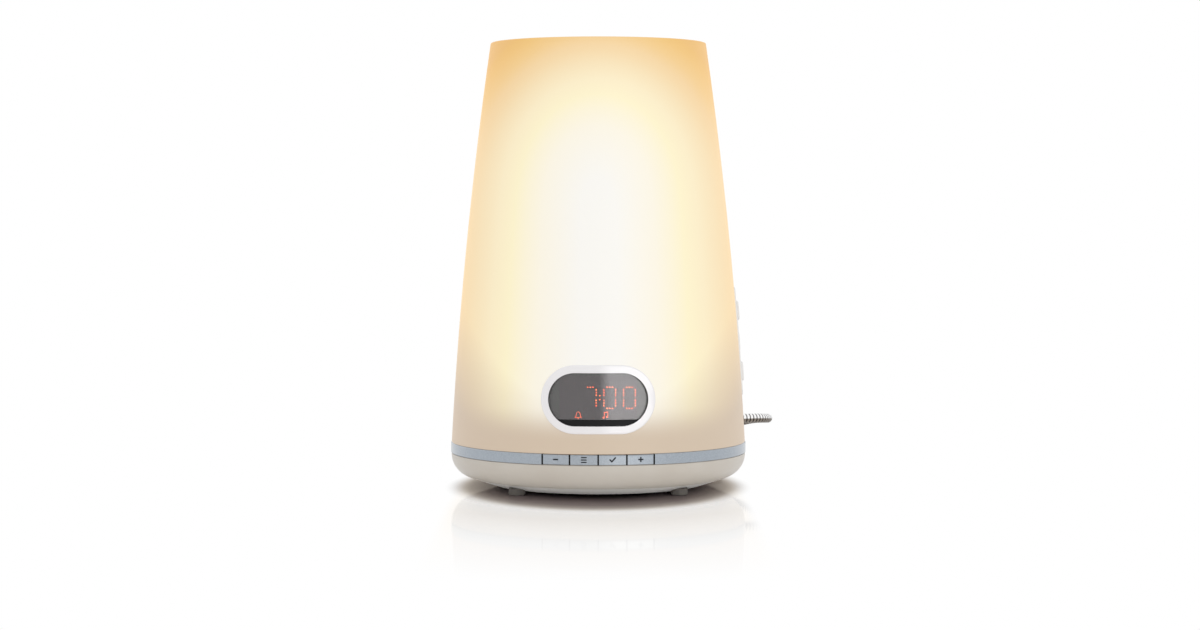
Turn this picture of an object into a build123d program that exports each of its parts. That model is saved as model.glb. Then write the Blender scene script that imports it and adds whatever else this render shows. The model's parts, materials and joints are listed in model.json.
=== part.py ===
from build123d import *
import math
import os

# Bedside sunrise alarm clock: a tapering, softly bowed lamp housing on a shallow bowl-shaped base.
# The translucent front half of the housing lifts off upwards to change the bulb. The white rear
# half stays on the base and carries the side buttons, the loudspeaker slots and the mains lead.
# Millimetres. Origin on the table under the middle of the body, +Z up, the front faces -Y.
# An azimuth is an angle in degrees about +Z, 0 at the front and positive towards +X.

# ---- outer form ----
body_height = 252.0
rim_radius = 61.0
foot_radius = 83.6
outline_bow = 2.5
rim_rounding = 0.8

# ---- base bowl and base plate ----
table_gap = 2.0
bowl_cone_run = 14.8
bowl_slope = 18.3
bowl_corner_radius = 13.0
bowl_overhang = 0.1
bowl_wall = 2.4
bowl_lip_height = 0.7
flange_thickness = 2.0
flange_margin = 1.1
plate_margin = 2.8
plate_thickness = 2.4
plate_vent_length = 22.0
plate_vent_width = 2.6
plate_vent_pitch = 7.0
plate_vent_rows = 5

# ---- feet and screws ----
foot_offset = 3.6
foot_pad_radius = 4.6
foot_recess = 0.6
foot_chamfer = 0.5
screw_head_radius = 2.9
screw_head_height = 2.0
screw_shank_radius = 1.5
screw_length = 12.0
screw_recess = 0.8
screw_boss_wall = 1.6
pilot_spare = 1.0

# ---- spigot that centres the housing, silver band and front keys ----
spigot_wall = 1.7
spigot_rise = 4.9
groove_height = 0.4
groove_depth = 0.9
band_height = 5.8
band_overhang = 0.4
band_chamfer = 0.6
key_names = ["key_minus", "key_menu", "key_select", "key_plus"]
key_pitch = 10.6
key_thickness = 2.2
key_travel = 0.7
key_stem_radius = 1.6
key_stem_bore_gap = 0.7

# ---- lampshade, top cap, display bezel and window ----
shade_wall = 2.2
split_gap = 0.3
cap_recess = 6.0
cap_thickness = 2.0
cap_chamfer = 0.6
cap_vents = 24
cap_vent_inner_radius = 22.0
cap_vent_margin = 4.0
cap_vent_width = 3.0
cap_skirt_height = 3.0
cap_skirt_wall = 1.6
ledge_width = 4.0
ledge_thickness = 1.6
ledge_web = 5.0
display_z = 55.6
bezel_width = 61.9
bezel_height = 37.2
bezel_proud = 1.2
bezel_rounding = 0.7
bezel_flange = 1.8
bezel_depth = 3.6
bezel_face_side = 3.9
bezel_face_end = 4.25
window_lap = 1.1
window_setback = 0.4
window_thickness = 1.6

# ---- display and key electronics behind the front ----
display_depth = 14.5
carrier_thickness = 2.4
carrier_width = 62.0
carrier_lift = 4.1
board_thickness = 1.6
shroud_wall = 1.4
matrix_width = 42.0
matrix_height = 24.2
matrix_thickness = 2.4
key_board_height = 11.0
switch_size = 6.0
switch_corner = 0.6
switch_height = 3.5
plunger_height = 1.0
plunger_radius = 1.7

# ---- rear cover ----
rear_wall = 2.4
lip_thickness = 1.4
lip_overlap = 4.5
lip_end_gap = 6.0
lip_root_azimuths = (0.4, 2.0)
vent_height = 2.4
vent_width = 44.0
vent_pitch = 6.0
vent_rows = 5
upper_vent_drop = 41.0
lower_vent_rise = 13.6
speaker_slot_pitch = 4.4
speaker_slot_height = 2.0

# ---- side panel with its three buttons ----
panel_azimuth = 95.5
panel_z = 82.6
panel_width = 10.4
panel_end = 8.1
panel_corner = 4.2
panel_proud = 0.9
panel_skin = 1.5
panel_lap_side = 1.0
panel_lap_end = 2.0
panel_neck_corner = 2.0
panel_neck_wall = 0.6
panel_neck_depth = 3.4
button_names = ["level_up_button", "lamp_button", "level_down_button"]
button_pitch = 17.4
button_frame = 2.1
button_length = 11.0
button_corner = 2.2
button_rounding = 0.7
button_proud = [2.3, 1.4, 2.3]
button_flange = 0.5
button_flange_thickness = 1.0
button_travel = 0.9
side_board_depth = 11.5
side_board_width = 8.0
side_post_radius = 2.4
side_post_gap = 1.2

# ---- lamp deck, reflector, lamp holder and bulb ----
deck_clearance = 1.8
deck_thickness = 2.4
deck_rim_height = 3.0
deck_rim_wall = 1.8
deck_notch_gap = 1.5
post_radius = 4.0
post_inset = 6.0
post_azimuths = [-25.0, 25.0, 140.0, -140.0]
deck_vents = 8
deck_vent_radius = 3.0
lug_size = 9.0
lug_azimuths = [150.0, 210.0]
reflector_thickness = 0.8
reflector_rise = 9.0
reflector_margin = 12.9
holder_wall = 4.6
holder_flange_width = 5.0
holder_flange_thickness = 2.6
holder_drop = 19.4
holder_rise = 18.6
holder_floor = 9.0
sleeve_wall = 0.8
sleeve_setback = 2.0
contact_strip_length = 16.0
contact_strip_width = 5.0
contact_strip_thickness = 0.6
contact_button_radius = 3.0
contact_button_height = 1.8
bulb_cap_radius = 13.1
bulb_cap_length = 25.0
bulb_cap_ribs = 5
bulb_thread_depth = 0.7
bulb_tip_height = 3.0
bulb_tip_step = 3.0
bulb_radius = 20.0
bulb_neck_step = 0.8
bulb_shoulder = 22.0
bulb_length = 124.0
bulb_glass_wall = 1.0
bulb_contact_radius = 4.8

# ---- mains electronics on the main board ----
main_board_width = 100.0
main_board_depth = 70.0
main_board_y = -5.0
main_board_corner = 3.0
board_margin = 4.0
standoff_height = 1.6
standoff_radius = 3.0
core_width = 42.0
core_depth = 20.0
core_height = 35.0
core_limb = 7.0
coil_bulge = 6.0
capacitor_sizes = [(8.0, 25.0), (6.3, 20.0), (5.0, 16.0)]
capacitor_row = 15.0
capacitor_gap = 2.0
capacitor_rounding = 0.8
heat_sink_row = 21.0
heat_sink_width = 36.0
heat_sink_depth = 14.0
heat_sink_height = 24.0
heat_sink_base = 3.0
heat_sink_fin = 1.2
heat_sink_fins = 6
lead_wire_radius = 1.0
lead_wire_bend = 6.0
lead_wire_gaps = (5.0, 9.0)
lead_wire_shift = 8.0
lead_wire_rise = 20.0

# ---- loudspeaker ----
speaker_radius = 21.5
speaker_z = 49.0
speaker_gap = 0.2
speaker_basket_depth = 9.0
speaker_sheet = 1.0
speaker_rim = 1.4
speaker_rim_width = 3.0
speaker_hub_radius = 5.0
speaker_surround = 1.2
cone_rise = 0.6
magnet_radius = 11.5
magnet_depth = 8.0
dome_radius = 6.0
dome_height = 2.4

# ---- mains lead, its strain relief, coil and plug ----
cord_diameter = 5.5
outlet_azimuth = 136.0
outlet_z = 32.8
outlet_heading = 20.0
outlet_boss_wall = 2.25
outlet_boss_depth = 6.0
outlet_boss_proud = 3.0
relief_root_wall = 0.95
relief_tip_wall = 0.35
relief_length = 20.0
relief_flange_width = 1.7
relief_flange_thickness = 1.6
relief_collar_width = 1.2
relief_grooves = 5
relief_groove_depth = 0.7
relief_plain_end = 3.0
cord_first_run = 15.5
coil_centre = (-4.6, 130.2)
coil_mid_radius = 30.0
coil_turns_across = 4
coil_layers = 2
coil_join_angle = 73.0
plug_heading = 6.0
plug_offset = (24.0, -0.2)
plug_stages = [(0.0, 8.0, 8.0), (9.0, 10.5, 13.0), (22.3, 13.4, 24.2), (36.0, 13.4, 26.0)]
plug_corner_share = 0.38
tail_run = 9.0
tail_start = (5.0, 0.6)
pin_radius = 2.0
pin_length = 19.0
pin_spacing = 18.6

# ---- clearances ----
moving_gap = 0.35
fixed_gap = 0.15
seat_gap = 0.1
slide_gap = 0.25

# ---- values that follow from the sizes above ----
slope = math.radians(bowl_slope)
bowl_radius = foot_radius + bowl_overhang
band_radius = foot_radius + band_overhang
corner_centre_r = bowl_radius - bowl_corner_radius
corner_foot_r = corner_centre_r + bowl_corner_radius * math.sin(slope)
bowl_flat_radius = corner_foot_r - bowl_cone_run
plate_radius = corner_foot_r - plate_margin
foot_circle_radius = bowl_flat_radius + foot_offset
foot_pad_height = table_gap + foot_offset * math.tan(slope) + foot_recess
post_circle_radius = bowl_flat_radius - post_inset
corner_foot_z = table_gap + (corner_foot_r - bowl_flat_radius) * math.tan(slope)
corner_centre_z = corner_foot_z + bowl_corner_radius * math.cos(slope)
band_low_z = corner_centre_z + bowl_lip_height + groove_height
band_top_z = band_low_z + band_height
spigot_radius = foot_radius - shade_wall - 2 * moving_gap
spigot_top_z = band_top_z + spigot_rise
band_inner_radius = spigot_radius + fixed_gap
chord = math.hypot(foot_radius - rim_radius, body_height - band_top_z)
outline_arc_radius = chord**2 / (8 * outline_bow) + outline_bow / 2
arc_centre_r = (foot_radius + rim_radius) / 2 - (body_height - band_top_z) / chord * (
    outline_arc_radius - outline_bow
)
arc_centre_z = (body_height + band_top_z) / 2 - (foot_radius - rim_radius) / chord * (
    outline_arc_radius - outline_bow
)
plate_inner_z = table_gap + plate_thickness
flange_low_z = (
    table_gap
    + (plate_radius - bowl_flat_radius) * math.tan(slope)
    + plate_thickness / math.cos(slope)
    + moving_gap
)
flange_top_z = flange_low_z + flange_thickness
carrier_low_z = flange_top_z + carrier_lift
main_board_z = flange_top_z + standoff_height
main_board_top_z = main_board_z + board_thickness
keys_half_span = len(key_names) * key_pitch / 2
key_z = band_low_z + band_height / 2
lip_inset = shade_wall + moving_gap
window_width = bezel_width - 2 * bezel_face_side
window_height = bezel_height - 2 * bezel_face_end
deck_z = display_z + bezel_height / 2 + deck_clearance
deck_top_z = deck_z + deck_thickness
lug_z = deck_top_z - lug_size / 2
cap_top_z = body_height - cap_recess
cap_low_z = cap_top_z - cap_thickness
upper_vent_z = cap_low_z - upper_vent_drop
lower_vent_z = deck_top_z + lower_vent_rise
button_width = panel_width - 2 * button_frame
panel_length = (len(button_names) - 1) * button_pitch + button_length + 2 * panel_end
panel_neck_width = panel_width - 2 * panel_lap_side
panel_neck_length = panel_length - 2 * panel_lap_end
side_board_length = panel_neck_length + 4 * side_post_radius + 2 * side_post_gap
holder_low_z = deck_top_z - holder_drop
holder_top_z = deck_top_z + holder_rise
sleeve_radius = bulb_cap_radius + moving_gap + sleeve_wall
holder_radius = sleeve_radius + fixed_gap + holder_wall
holder_flange_radius = holder_radius + holder_flange_width
bulb_low_z = holder_low_z + holder_floor + contact_button_height + seat_gap
bulb_seam_z = bulb_low_z + bulb_cap_length
relief_root_radius = cord_diameter / 2 + relief_root_wall
relief_tip_radius = cord_diameter / 2 + relief_tip_wall
relief_flange_radius = relief_root_radius + relief_flange_width
outlet_boss_radius = relief_root_radius + slide_gap + outlet_boss_wall
plug_length = plug_stages[-1][0]
plug_thickness = plug_stages[-1][1]
turn_pitch = cord_diameter
coil_half_width = coil_turns_across * turn_pitch / 2
coil_outer_turn = coil_mid_radius + coil_half_width - cord_diameter / 2
cord_rest_z = cord_diameter / 2


def outline_radius(z, inset=0.0):
    """Radius at height z of the housing's bowed outline, or of a surface inset from it."""
    return arc_centre_r + math.sqrt((outline_arc_radius - inset) ** 2 - (z - arc_centre_z) ** 2)


def carrier_distance():
    """Distance from the axis to the front face of the plate behind the display."""
    return outline_radius(display_z + bezel_height / 2) - display_depth


def heading(azimuth):
    """Unit vector pointing level and outwards at an azimuth."""
    angle = math.radians(azimuth)
    return Vector(math.sin(angle), -math.cos(angle), 0)


def on_circle(radius, azimuth, z):
    """Point at a radius, azimuth and height."""
    return heading(azimuth) * radius + Vector(0, 0, z)


def outline_plane(azimuth, z):
    """Plane touching the housing's outline: its Z looks outwards and its X runs up the wall."""
    radius = outline_radius(z)
    out = heading(azimuth) * (radius - arc_centre_r) + Vector(0, 0, z - arc_centre_z)
    up = Vector(0, 0, 1)
    side = up.cross(out)
    return Plane(origin=on_circle(radius, azimuth, z), x_dir=out.cross(side), z_dir=out)


def turned(section, start=0.0, end=360.0):
    """Revolve a section drawn as (radius, height) about the clock's axis, between two azimuths."""
    return Rot(0, 0, start - 90) * revolve(Plane.XZ * section, Axis.Z, end - start)


def polygon(*points):
    """Closed face through points."""
    return make_face(Polyline(*points, close=True))


def ring(inner_radius, outer_radius, low_z, high_z, start=0.0, end=360.0):
    """Flat ring, or a sector of one."""
    section = polygon(
        (inner_radius, low_z), (outer_radius, low_z), (outer_radius, high_z), (inner_radius, high_z)
    )
    return turned(section, start, end)


def wall_section(low_z, high_z, outer_inset, inner_inset):
    """Radial section of a wall that follows the outline between two insets from it."""
    mid_z = (low_z + high_z) / 2
    outer = ThreePointArc(*[(outline_radius(z, outer_inset), z) for z in (low_z, mid_z, high_z)])
    inner = ThreePointArc(*[(outline_radius(z, inner_inset), z) for z in (high_z, mid_z, low_z)])
    return make_face([outer, Line(outer @ 1, inner @ 0), inner, Line(inner @ 1, outer @ 0)])


def rod(start, direction, radius, length):
    """Round bar from a point along a direction."""
    return extrude(Plane(origin=start, z_dir=direction) * Circle(radius), amount=length)


def upright(x, y, low_z, high_z, radius):
    """Vertical round bar."""
    return rod(Vector(x, y, low_z), Vector(0, 0, 1), radius, high_z - low_z)


def block(x, y, low_z, high_z, size_x, size_y, corner=0.0):
    """Upright block centred on (x, y), with rounded vertical edges where a corner is given."""
    outline = RectangleRounded(size_x, size_y, corner) if corner else Rectangle(size_x, size_y)
    return extrude(Pos(x, y, low_z) * outline, amount=high_z - low_z)


def front_prism(width, height, from_y, to_y, centre_z):
    """Stadium-shaped prism that looks out at the front, between two distances from the axis."""
    face = Plane(origin=(0, -from_y, centre_z), x_dir=(1, 0, 0), z_dir=(0, -1, 0)) * SlotOverall(
        width, height
    )
    return extrude(face, amount=to_y - from_y)


def front_skin(outer_inset, inner_inset):
    """Patch of curved wall round the display, wider and taller than the bezel."""
    half_angle = math.degrees(math.asin(bezel_width / outline_radius(display_z) / 2 * 1.2))
    half_height = bezel_height / 2 + bezel_flange
    section = wall_section(display_z - half_height, display_z + half_height, outer_inset, inner_inset)
    return turned(section, -half_angle, half_angle)


# ---- base ----


def base_shell():
    """Bowl of the base with its inner flange, the spigot for the housing and board standoffs."""
    inner_corner = bowl_corner_radius - bowl_wall
    spigot_inner = spigot_radius - spigot_wall
    rim_z = band_low_z - groove_height
    edge_r = plate_radius + fixed_gap
    edge_z = table_gap + (edge_r - bowl_flat_radius) * math.tan(slope)
    spigot_foot_z = corner_centre_z - math.sqrt(
        inner_corner**2 - min(inner_corner, spigot_inner - corner_centre_r) ** 2
    )
    flange_r = corner_centre_r + math.sqrt(inner_corner**2 - (corner_centre_z - flange_top_z) ** 2)
    standoff_reach = min(math.hypot(x, y) for x, y in board_corners()) - standoff_radius
    post_reach = post_circle_radius - post_radius
    flange_inner_radius = min(standoff_reach, post_reach) - flange_margin
    half_turn = math.radians(45) + slope / 2
    corner_mid = (
        corner_centre_r + bowl_corner_radius * math.sin(half_turn),
        corner_centre_z - bowl_corner_radius * math.cos(half_turn),
    )
    inner_turn = math.atan2(
        (spigot_inner - corner_centre_r + flange_r - corner_centre_r) / 2,
        corner_centre_z - (spigot_foot_z + flange_top_z) / 2,
    )
    inner_mid = (
        corner_centre_r + inner_corner * math.sin(inner_turn),
        corner_centre_z - inner_corner * math.cos(inner_turn),
    )
    cone = Line((edge_r, edge_z), (corner_foot_r, corner_foot_z))
    corner = ThreePointArc(cone @ 1, corner_mid, (bowl_radius, corner_centre_z))
    rim = Polyline(
        corner @ 1,
        (bowl_radius, rim_z),
        (bowl_radius - groove_depth, rim_z),
        (bowl_radius - groove_depth, band_low_z),
        (spigot_radius, band_low_z),
        (spigot_radius, spigot_top_z),
        (spigot_inner, spigot_top_z),
        (spigot_inner, spigot_foot_z),
    )
    inside = ThreePointArc(rim @ 1, inner_mid, (flange_r, flange_top_z))
    flange = Polyline(
        inside @ 1,
        (flange_inner_radius, flange_top_z),
        (flange_inner_radius, flange_low_z),
        (edge_r, flange_low_z),
        cone @ 0,
    )
    shell = turned(make_face([cone, corner, rim, inside, flange]))
    for azimuth in key_azimuths():
        shell -= key_stem(azimuth, key_stem_radius + key_stem_bore_gap)
    for azimuth in post_azimuths:
        centre = on_circle(post_circle_radius, azimuth, 0)
        shell -= upright(centre.X, centre.Y, 0, flange_top_z, screw_shank_radius + slide_gap)
    notch_start = outlet_point(-4 * outlet_boss_depth)
    shell -= rod(notch_start, outlet_direction(), outlet_boss_radius + fixed_gap, 6 * outlet_boss_depth)
    for x, y in board_corners():
        shell += upright(x, y, flange_top_z - fixed_gap, main_board_z, standoff_radius)
    return shell


def board_corners():
    """Fixing points of the main board, inside its four corners."""
    reach_x = main_board_width / 2 - 2 * standoff_radius
    reach_y = main_board_depth / 2 - 2 * standoff_radius
    return [(sx * reach_x, main_board_y + sy * reach_y) for sx in (-1, 1) for sy in (-1, 1)]


def base_plate():
    """Dished cover that closes the bowl from below, with screw bosses, foot pockets and vents."""
    rise = (plate_radius - bowl_flat_radius) * math.tan(slope)
    lean = plate_thickness / math.cos(slope)
    flat_inner_radius = bowl_flat_radius - (lean - plate_thickness) / math.tan(slope)
    section = polygon(
        (0, table_gap),
        (bowl_flat_radius, table_gap),
        (plate_radius, table_gap + rise),
        (plate_radius, table_gap + rise + lean),
        (flat_inner_radius, plate_inner_z),
        (0, plate_inner_z),
    )
    plate = turned(section)
    boss_radius = screw_head_radius + screw_boss_wall
    for azimuth in post_azimuths:
        centre = on_circle(post_circle_radius, azimuth, 0)
        plate += upright(centre.X, centre.Y, table_gap, flange_low_z, boss_radius)
        plate -= upright(
            centre.X, centre.Y, 0, table_gap + screw_head_height, screw_head_radius + slide_gap
        )
        plate -= upright(centre.X, centre.Y, 0, flange_low_z, screw_shank_radius + slide_gap)
    for centre in foot_centres():
        plate -= upright(centre.X, centre.Y, 0, foot_pad_height, foot_pad_radius + fixed_gap)
    first_x = -(plate_vent_rows - 1) / 2 * plate_vent_pitch
    for row in range(plate_vent_rows):
        slot = Rot(0, 0, 90) * SlotOverall(plate_vent_length, plate_vent_width)
        cutter = extrude(Pos(first_x + row * plate_vent_pitch, main_board_y, 0) * slot, plate_inner_z)
        plate -= cutter
    return plate


def foot_centres():
    """Centres of the four feet."""
    return [on_circle(foot_circle_radius, azimuth, 0) for azimuth in (45, 135, 225, 315)]


def rubber_feet():
    """Four pressed-in rubber feet."""
    feet = Part()
    for centre in foot_centres():
        foot = upright(centre.X, centre.Y, 0, foot_pad_height, foot_pad_radius)
        feet += chamfer(foot.edges().group_by(Axis.Z)[0], foot_chamfer)
    return feet


def screw(start, direction):
    """Pan-head screw whose head's outer face is at start, pointing along direction."""
    head = rod(start, direction, screw_head_radius, screw_head_height)
    return head + rod(start, direction, screw_shank_radius, screw_length)


def base_screws():
    """Four screws up through the base plate and flange into the deck posts."""
    screws = Part()
    for azimuth in post_azimuths:
        screws += screw(on_circle(post_circle_radius, azimuth, table_gap), Vector(0, 0, 1))
    return screws


# ---- band and front keys ----


def key_azimuths():
    """Azimuth of the middle of each front key."""
    first = -(len(key_names) - 1) / 2 * key_pitch
    return [first + index * key_pitch for index in range(len(key_names))]


def band_section(low_z, high_z, inner_radius):
    """Section of the band: a flat face with a bevel along its upper edge."""
    return polygon(
        (inner_radius, low_z),
        (band_radius, low_z),
        (band_radius, high_z - band_chamfer),
        (band_radius - band_chamfer, high_z),
        (inner_radius, high_z),
    )


def trim_band():
    """Silver band round the body, open at the front for the keys."""
    section = band_section(band_low_z, band_top_z, band_inner_radius)
    return turned(section, keys_half_span, 360 - keys_half_span)


def key_stem(azimuth, radius):
    """Stem that reaches from a front key to its switch."""
    reach = switch_plunger_distance() + key_travel + seat_gap
    angle = math.radians(azimuth)
    start_r = reach / math.cos(angle) + key_stem_radius * math.tan(abs(angle))
    end_r = band_radius - key_thickness / 2
    return rod(on_circle(start_r, azimuth, key_z), heading(azimuth), radius, end_r - start_r)


def switch_plunger_distance():
    """Distance from the axis to the tips of the front switches' plungers."""
    return carrier_distance() + board_thickness + switch_height + plunger_height


def front_key(azimuth):
    """One key of the band: a curved cap on a round stem."""
    side_gap = math.degrees(slide_gap / band_radius)
    section = band_section(
        band_low_z + slide_gap, band_top_z - slide_gap, band_radius - key_thickness
    )
    start = azimuth - key_pitch / 2 + side_gap
    cap = turned(section, start, start + key_pitch - 2 * side_gap)
    return cap + key_stem(azimuth, key_stem_radius)


# ---- lampshade and what it carries ----


def rounded_wall(wall, start, end):
    """Half of the housing's wall from the band to the rim, its rim rounded on both edges."""
    foot_z = band_top_z + (seat_gap if wall == shade_wall else 0)
    section = wall_section(foot_z, body_height, 0, wall)
    section = fillet(section.vertices().sort_by(Axis.Y)[-2:], rim_rounding)
    return turned(section, start, end)


def split_trim(side):
    """Slab that trims a housing half back from the joint line: side is -1 front, +1 rear."""
    reach = 4 * band_radius
    return Pos(0, side * (reach / 2 + split_gap / 2), body_height / 2) * Box(
        reach, reach, 2 * body_height
    )


def lampshade():
    """Translucent front half of the housing, with the ledge for the cap and the display hole."""
    wall = rounded_wall(shade_wall, -90, 90)
    cap_edge = cap_radius()
    web_z = cap_low_z - ledge_thickness - ledge_web
    ledge = polygon(
        (cap_edge - ledge_width, cap_low_z),
        (cap_edge - ledge_width, cap_low_z - ledge_thickness),
        (outline_radius(web_z, shade_wall / 2), web_z),
        (outline_radius(cap_low_z, shade_wall / 2), cap_low_z),
    )
    shade = (wall + turned(ledge, -90, 90)) & split_trim(-1)
    hole_width = bezel_width - 2 * bezel_flange + 2 * fixed_gap
    hole_height = bezel_height - 2 * bezel_flange + 2 * fixed_gap
    return shade - front_prism(hole_width, hole_height, rim_radius / 2, 2 * band_radius, display_z)


def cap_radius():
    """Radius of the top cap: it clears the rear cover's wall all the way out."""
    return rim_radius - rear_wall - 2 * moving_gap


def top_cap():
    """Recessed vent cap over the bulb, with radial slots and a stiffening skirt below."""
    edge = cap_radius()
    skirt_radius = edge - ledge_width - moving_gap
    cap = ring(0, edge, cap_low_z, cap_top_z)
    cap = chamfer(cap.edges().group_by(Axis.Z)[-1], cap_chamfer)
    cap += ring(skirt_radius - cap_skirt_wall, skirt_radius, cap_low_z - cap_skirt_height, cap_low_z)
    vent_outer_radius = skirt_radius - cap_skirt_wall - cap_vent_margin
    slot_length = vent_outer_radius - cap_vent_inner_radius
    slot_middle = (vent_outer_radius + cap_vent_inner_radius) / 2
    slot = Pos(slot_middle, 0, cap_low_z) * SlotOverall(slot_length, cap_vent_width)
    slot = extrude(slot, cap_thickness)
    for index in range(cap_vents):
        cap -= Rot(0, 0, (index + 0.5) * 360 / cap_vents) * slot
    return cap


def display_bezel():
    """Ring round the display: a rounded flange on the shade and a neck through its wall."""
    reach = 2 * band_radius
    neck_width = bezel_width - 2 * bezel_flange
    neck_height = bezel_height - 2 * bezel_flange
    lap_width = window_width + 2 * window_lap
    lap_height = window_height + 2 * window_lap
    flange = front_skin(-bezel_proud, 0) & front_prism(
        bezel_width, bezel_height, rim_radius / 2, reach, display_z
    )
    outer_face = flange.faces().sort_by_distance((0, -reach, display_z))[0]
    flange = fillet(outer_face.edges(), bezel_rounding)
    neck = front_skin(-bezel_proud, bezel_depth) & front_prism(
        neck_width, neck_height, rim_radius / 2, reach, display_z
    )
    rebate = front_skin(window_setback, 2 * bezel_depth) & front_prism(
        lap_width, lap_height, rim_radius / 2, reach, display_z
    )
    opening = front_prism(window_width, window_height, rim_radius / 2, reach, display_z)
    return flange + neck - rebate - opening


def display_window():
    """Smoked window that lies in the bezel's rebate and follows the shade's curve."""
    width = window_width + 2 * window_lap - 2 * fixed_gap
    height = window_height + 2 * window_lap - 2 * fixed_gap
    skin = front_skin(window_setback, window_setback + window_thickness)
    return skin & front_prism(width, height, rim_radius / 2, 2 * band_radius, display_z)


# ---- display and key electronics ----


def front_carrier():
    """Upright plate on the two front posts that carries the display and the key board."""
    high_z = display_z + bezel_height / 2
    back_y = -carrier_distance() + carrier_thickness
    plate = block(
        0, back_y - carrier_thickness / 2, carrier_low_z, high_z, carrier_width, carrier_thickness
    )
    for azimuth in post_azimuths[:2]:
        centre = on_circle(post_circle_radius, azimuth, 0)
        depth = back_y - centre.Y
        arm = block(
            centre.X, centre.Y + depth / 2, carrier_low_z, high_z, 2 * post_radius, abs(depth)
        )
        plate += arm - upright(centre.X, centre.Y, 0, body_height, post_radius)
    return plate


def display_size(margin):
    """Width and height of a stadium that lies inside the bezel's neck by a margin."""
    inset = bezel_flange + margin
    return bezel_width - 2 * inset, bezel_height - 2 * inset


def display_shroud():
    """Light-tight frame between the display board and the back of the window."""
    outer = display_size(fixed_gap)
    inner = display_size(fixed_gap + shroud_wall)
    reach = 2 * band_radius
    tube = front_prism(*outer, carrier_distance(), reach, display_z)
    tube -= front_prism(*inner, carrier_distance(), reach, display_z)
    return tube & front_skin(bezel_depth + moving_gap, foot_radius / 2)


def display_board():
    """Board behind the window, inside the shroud."""
    size = display_size(2 * fixed_gap + shroud_wall)
    return front_prism(*size, carrier_distance(), carrier_distance() + board_thickness, display_z)


def display_matrix():
    """Block of light-emitting dots on the display board."""
    front = carrier_distance() + board_thickness
    return block(
        0,
        -front - matrix_thickness / 2,
        display_z - matrix_height / 2,
        display_z + matrix_height / 2,
        matrix_width,
        matrix_thickness,
    )


def key_board():
    """Board on the carrier that holds the four key switches."""
    return block(
        0,
        -carrier_distance() - board_thickness / 2,
        key_z - key_board_height / 2,
        key_z + key_board_height / 2,
        carrier_width - carrier_thickness,
        board_thickness,
    )


def tact_switch(plane):
    """Push switch standing on a plane: a square body with a round plunger."""
    outline = RectangleRounded(switch_size, switch_size, switch_corner)
    body = extrude(plane * outline, amount=switch_height)
    plunger = extrude(plane * Circle(plunger_radius), amount=switch_height + plunger_height)
    return body + plunger


def key_switches():
    """Four switches behind the front keys, each on its key's stem line."""
    switches = Part()
    front = carrier_distance() + board_thickness
    for azimuth in key_azimuths():
        x = switch_plunger_distance() * math.tan(math.radians(azimuth))
        switches += tact_switch(Plane(origin=(x, -front, key_z), x_dir=(1, 0, 0), z_dir=(0, -1, 0)))
    return switches


# ---- rear cover ----


def rear_slot(width, height, z):
    """Stadium-shaped cutter through the rear wall at a height."""
    plane = Plane(origin=(0, rim_radius / 2, z), x_dir=(-1, 0, 0), z_dir=(0, 1, 0))
    return extrude(plane * SlotOverall(width, height), amount=band_radius)


def rear_slots():
    """Cutters for the two sets of louvres and the round field of loudspeaker slots."""
    slots = []
    for row in range(vent_rows):
        for low_z in (upper_vent_z, lower_vent_z):
            slots.append(rear_slot(vent_width, vent_height, low_z + row * vent_pitch))
    field_radius = speaker_radius - speaker_slot_height
    rows = int(field_radius / speaker_slot_pitch)
    for row in range(-rows, rows + 1):
        offset = row * speaker_slot_pitch
        width = 2 * math.sqrt(field_radius**2 - offset**2)
        if width > 2 * speaker_slot_height:
            slots.append(rear_slot(width, speaker_slot_height, speaker_z + offset))
    return slots


def rear_cover():
    """White rear half of the housing: light-tight lips, louvres, speaker slots, lead outlet."""
    cover = (rounded_wall(rear_wall, 90, 270) & split_trim(1)) - rear_slots()
    lip_low = spigot_top_z + moving_gap
    lip_high = cap_low_z - ledge_thickness - ledge_web - lip_end_gap
    lip_half_angle = math.degrees(lip_overlap / foot_radius)
    for side in (1, -1):
        edge = 180 - side * 90
        lip = wall_section(lip_low, lip_high, lip_inset, lip_inset + lip_thickness)
        root = wall_section(lip_low, lip_high, rear_wall / 2, lip_inset + lip_thickness)
        near, far = [edge + side * angle for angle in lip_root_azimuths]
        cover += turned(lip, *sorted((edge - side * lip_half_angle, far)))
        cover += turned(root, *sorted((near, far)))
    for azimuth in lug_azimuths:
        cover += cover_boss(azimuth)
        cover -= cover_screw_bore(azimuth)
    wall_plane = outline_plane(panel_azimuth, panel_z)
    cover -= side_prism(
        wall_plane,
        panel_neck_length + 2 * fixed_gap,
        panel_neck_width + 2 * fixed_gap,
        panel_neck_corner + fixed_gap,
        panel_neck_depth + panel_proud,
    )
    for offset in side_post_offsets():
        cover += side_post(offset)
    boss_length = outlet_boss_depth + outlet_boss_proud
    boss_start = outlet_point(-outlet_boss_depth)
    cover += rod(boss_start, outlet_direction(), outlet_boss_radius, boss_length)
    bore_start = outlet_point(-2 * outlet_boss_depth)
    bore_length = 2 * outlet_boss_depth + 2 * outlet_boss_proud
    cover -= rod(bore_start, outlet_direction(), relief_root_radius + slide_gap, bore_length)
    return cover


def cover_boss(azimuth):
    """Boss inside the rear cover that meets the lamp deck's lug."""
    start = deck_radius() + fixed_gap
    length = outline_radius(lug_z, rear_wall / 2) - start
    radius = screw_head_radius + screw_boss_wall
    return rod(on_circle(start, azimuth, lug_z), heading(azimuth), radius, length)


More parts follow.
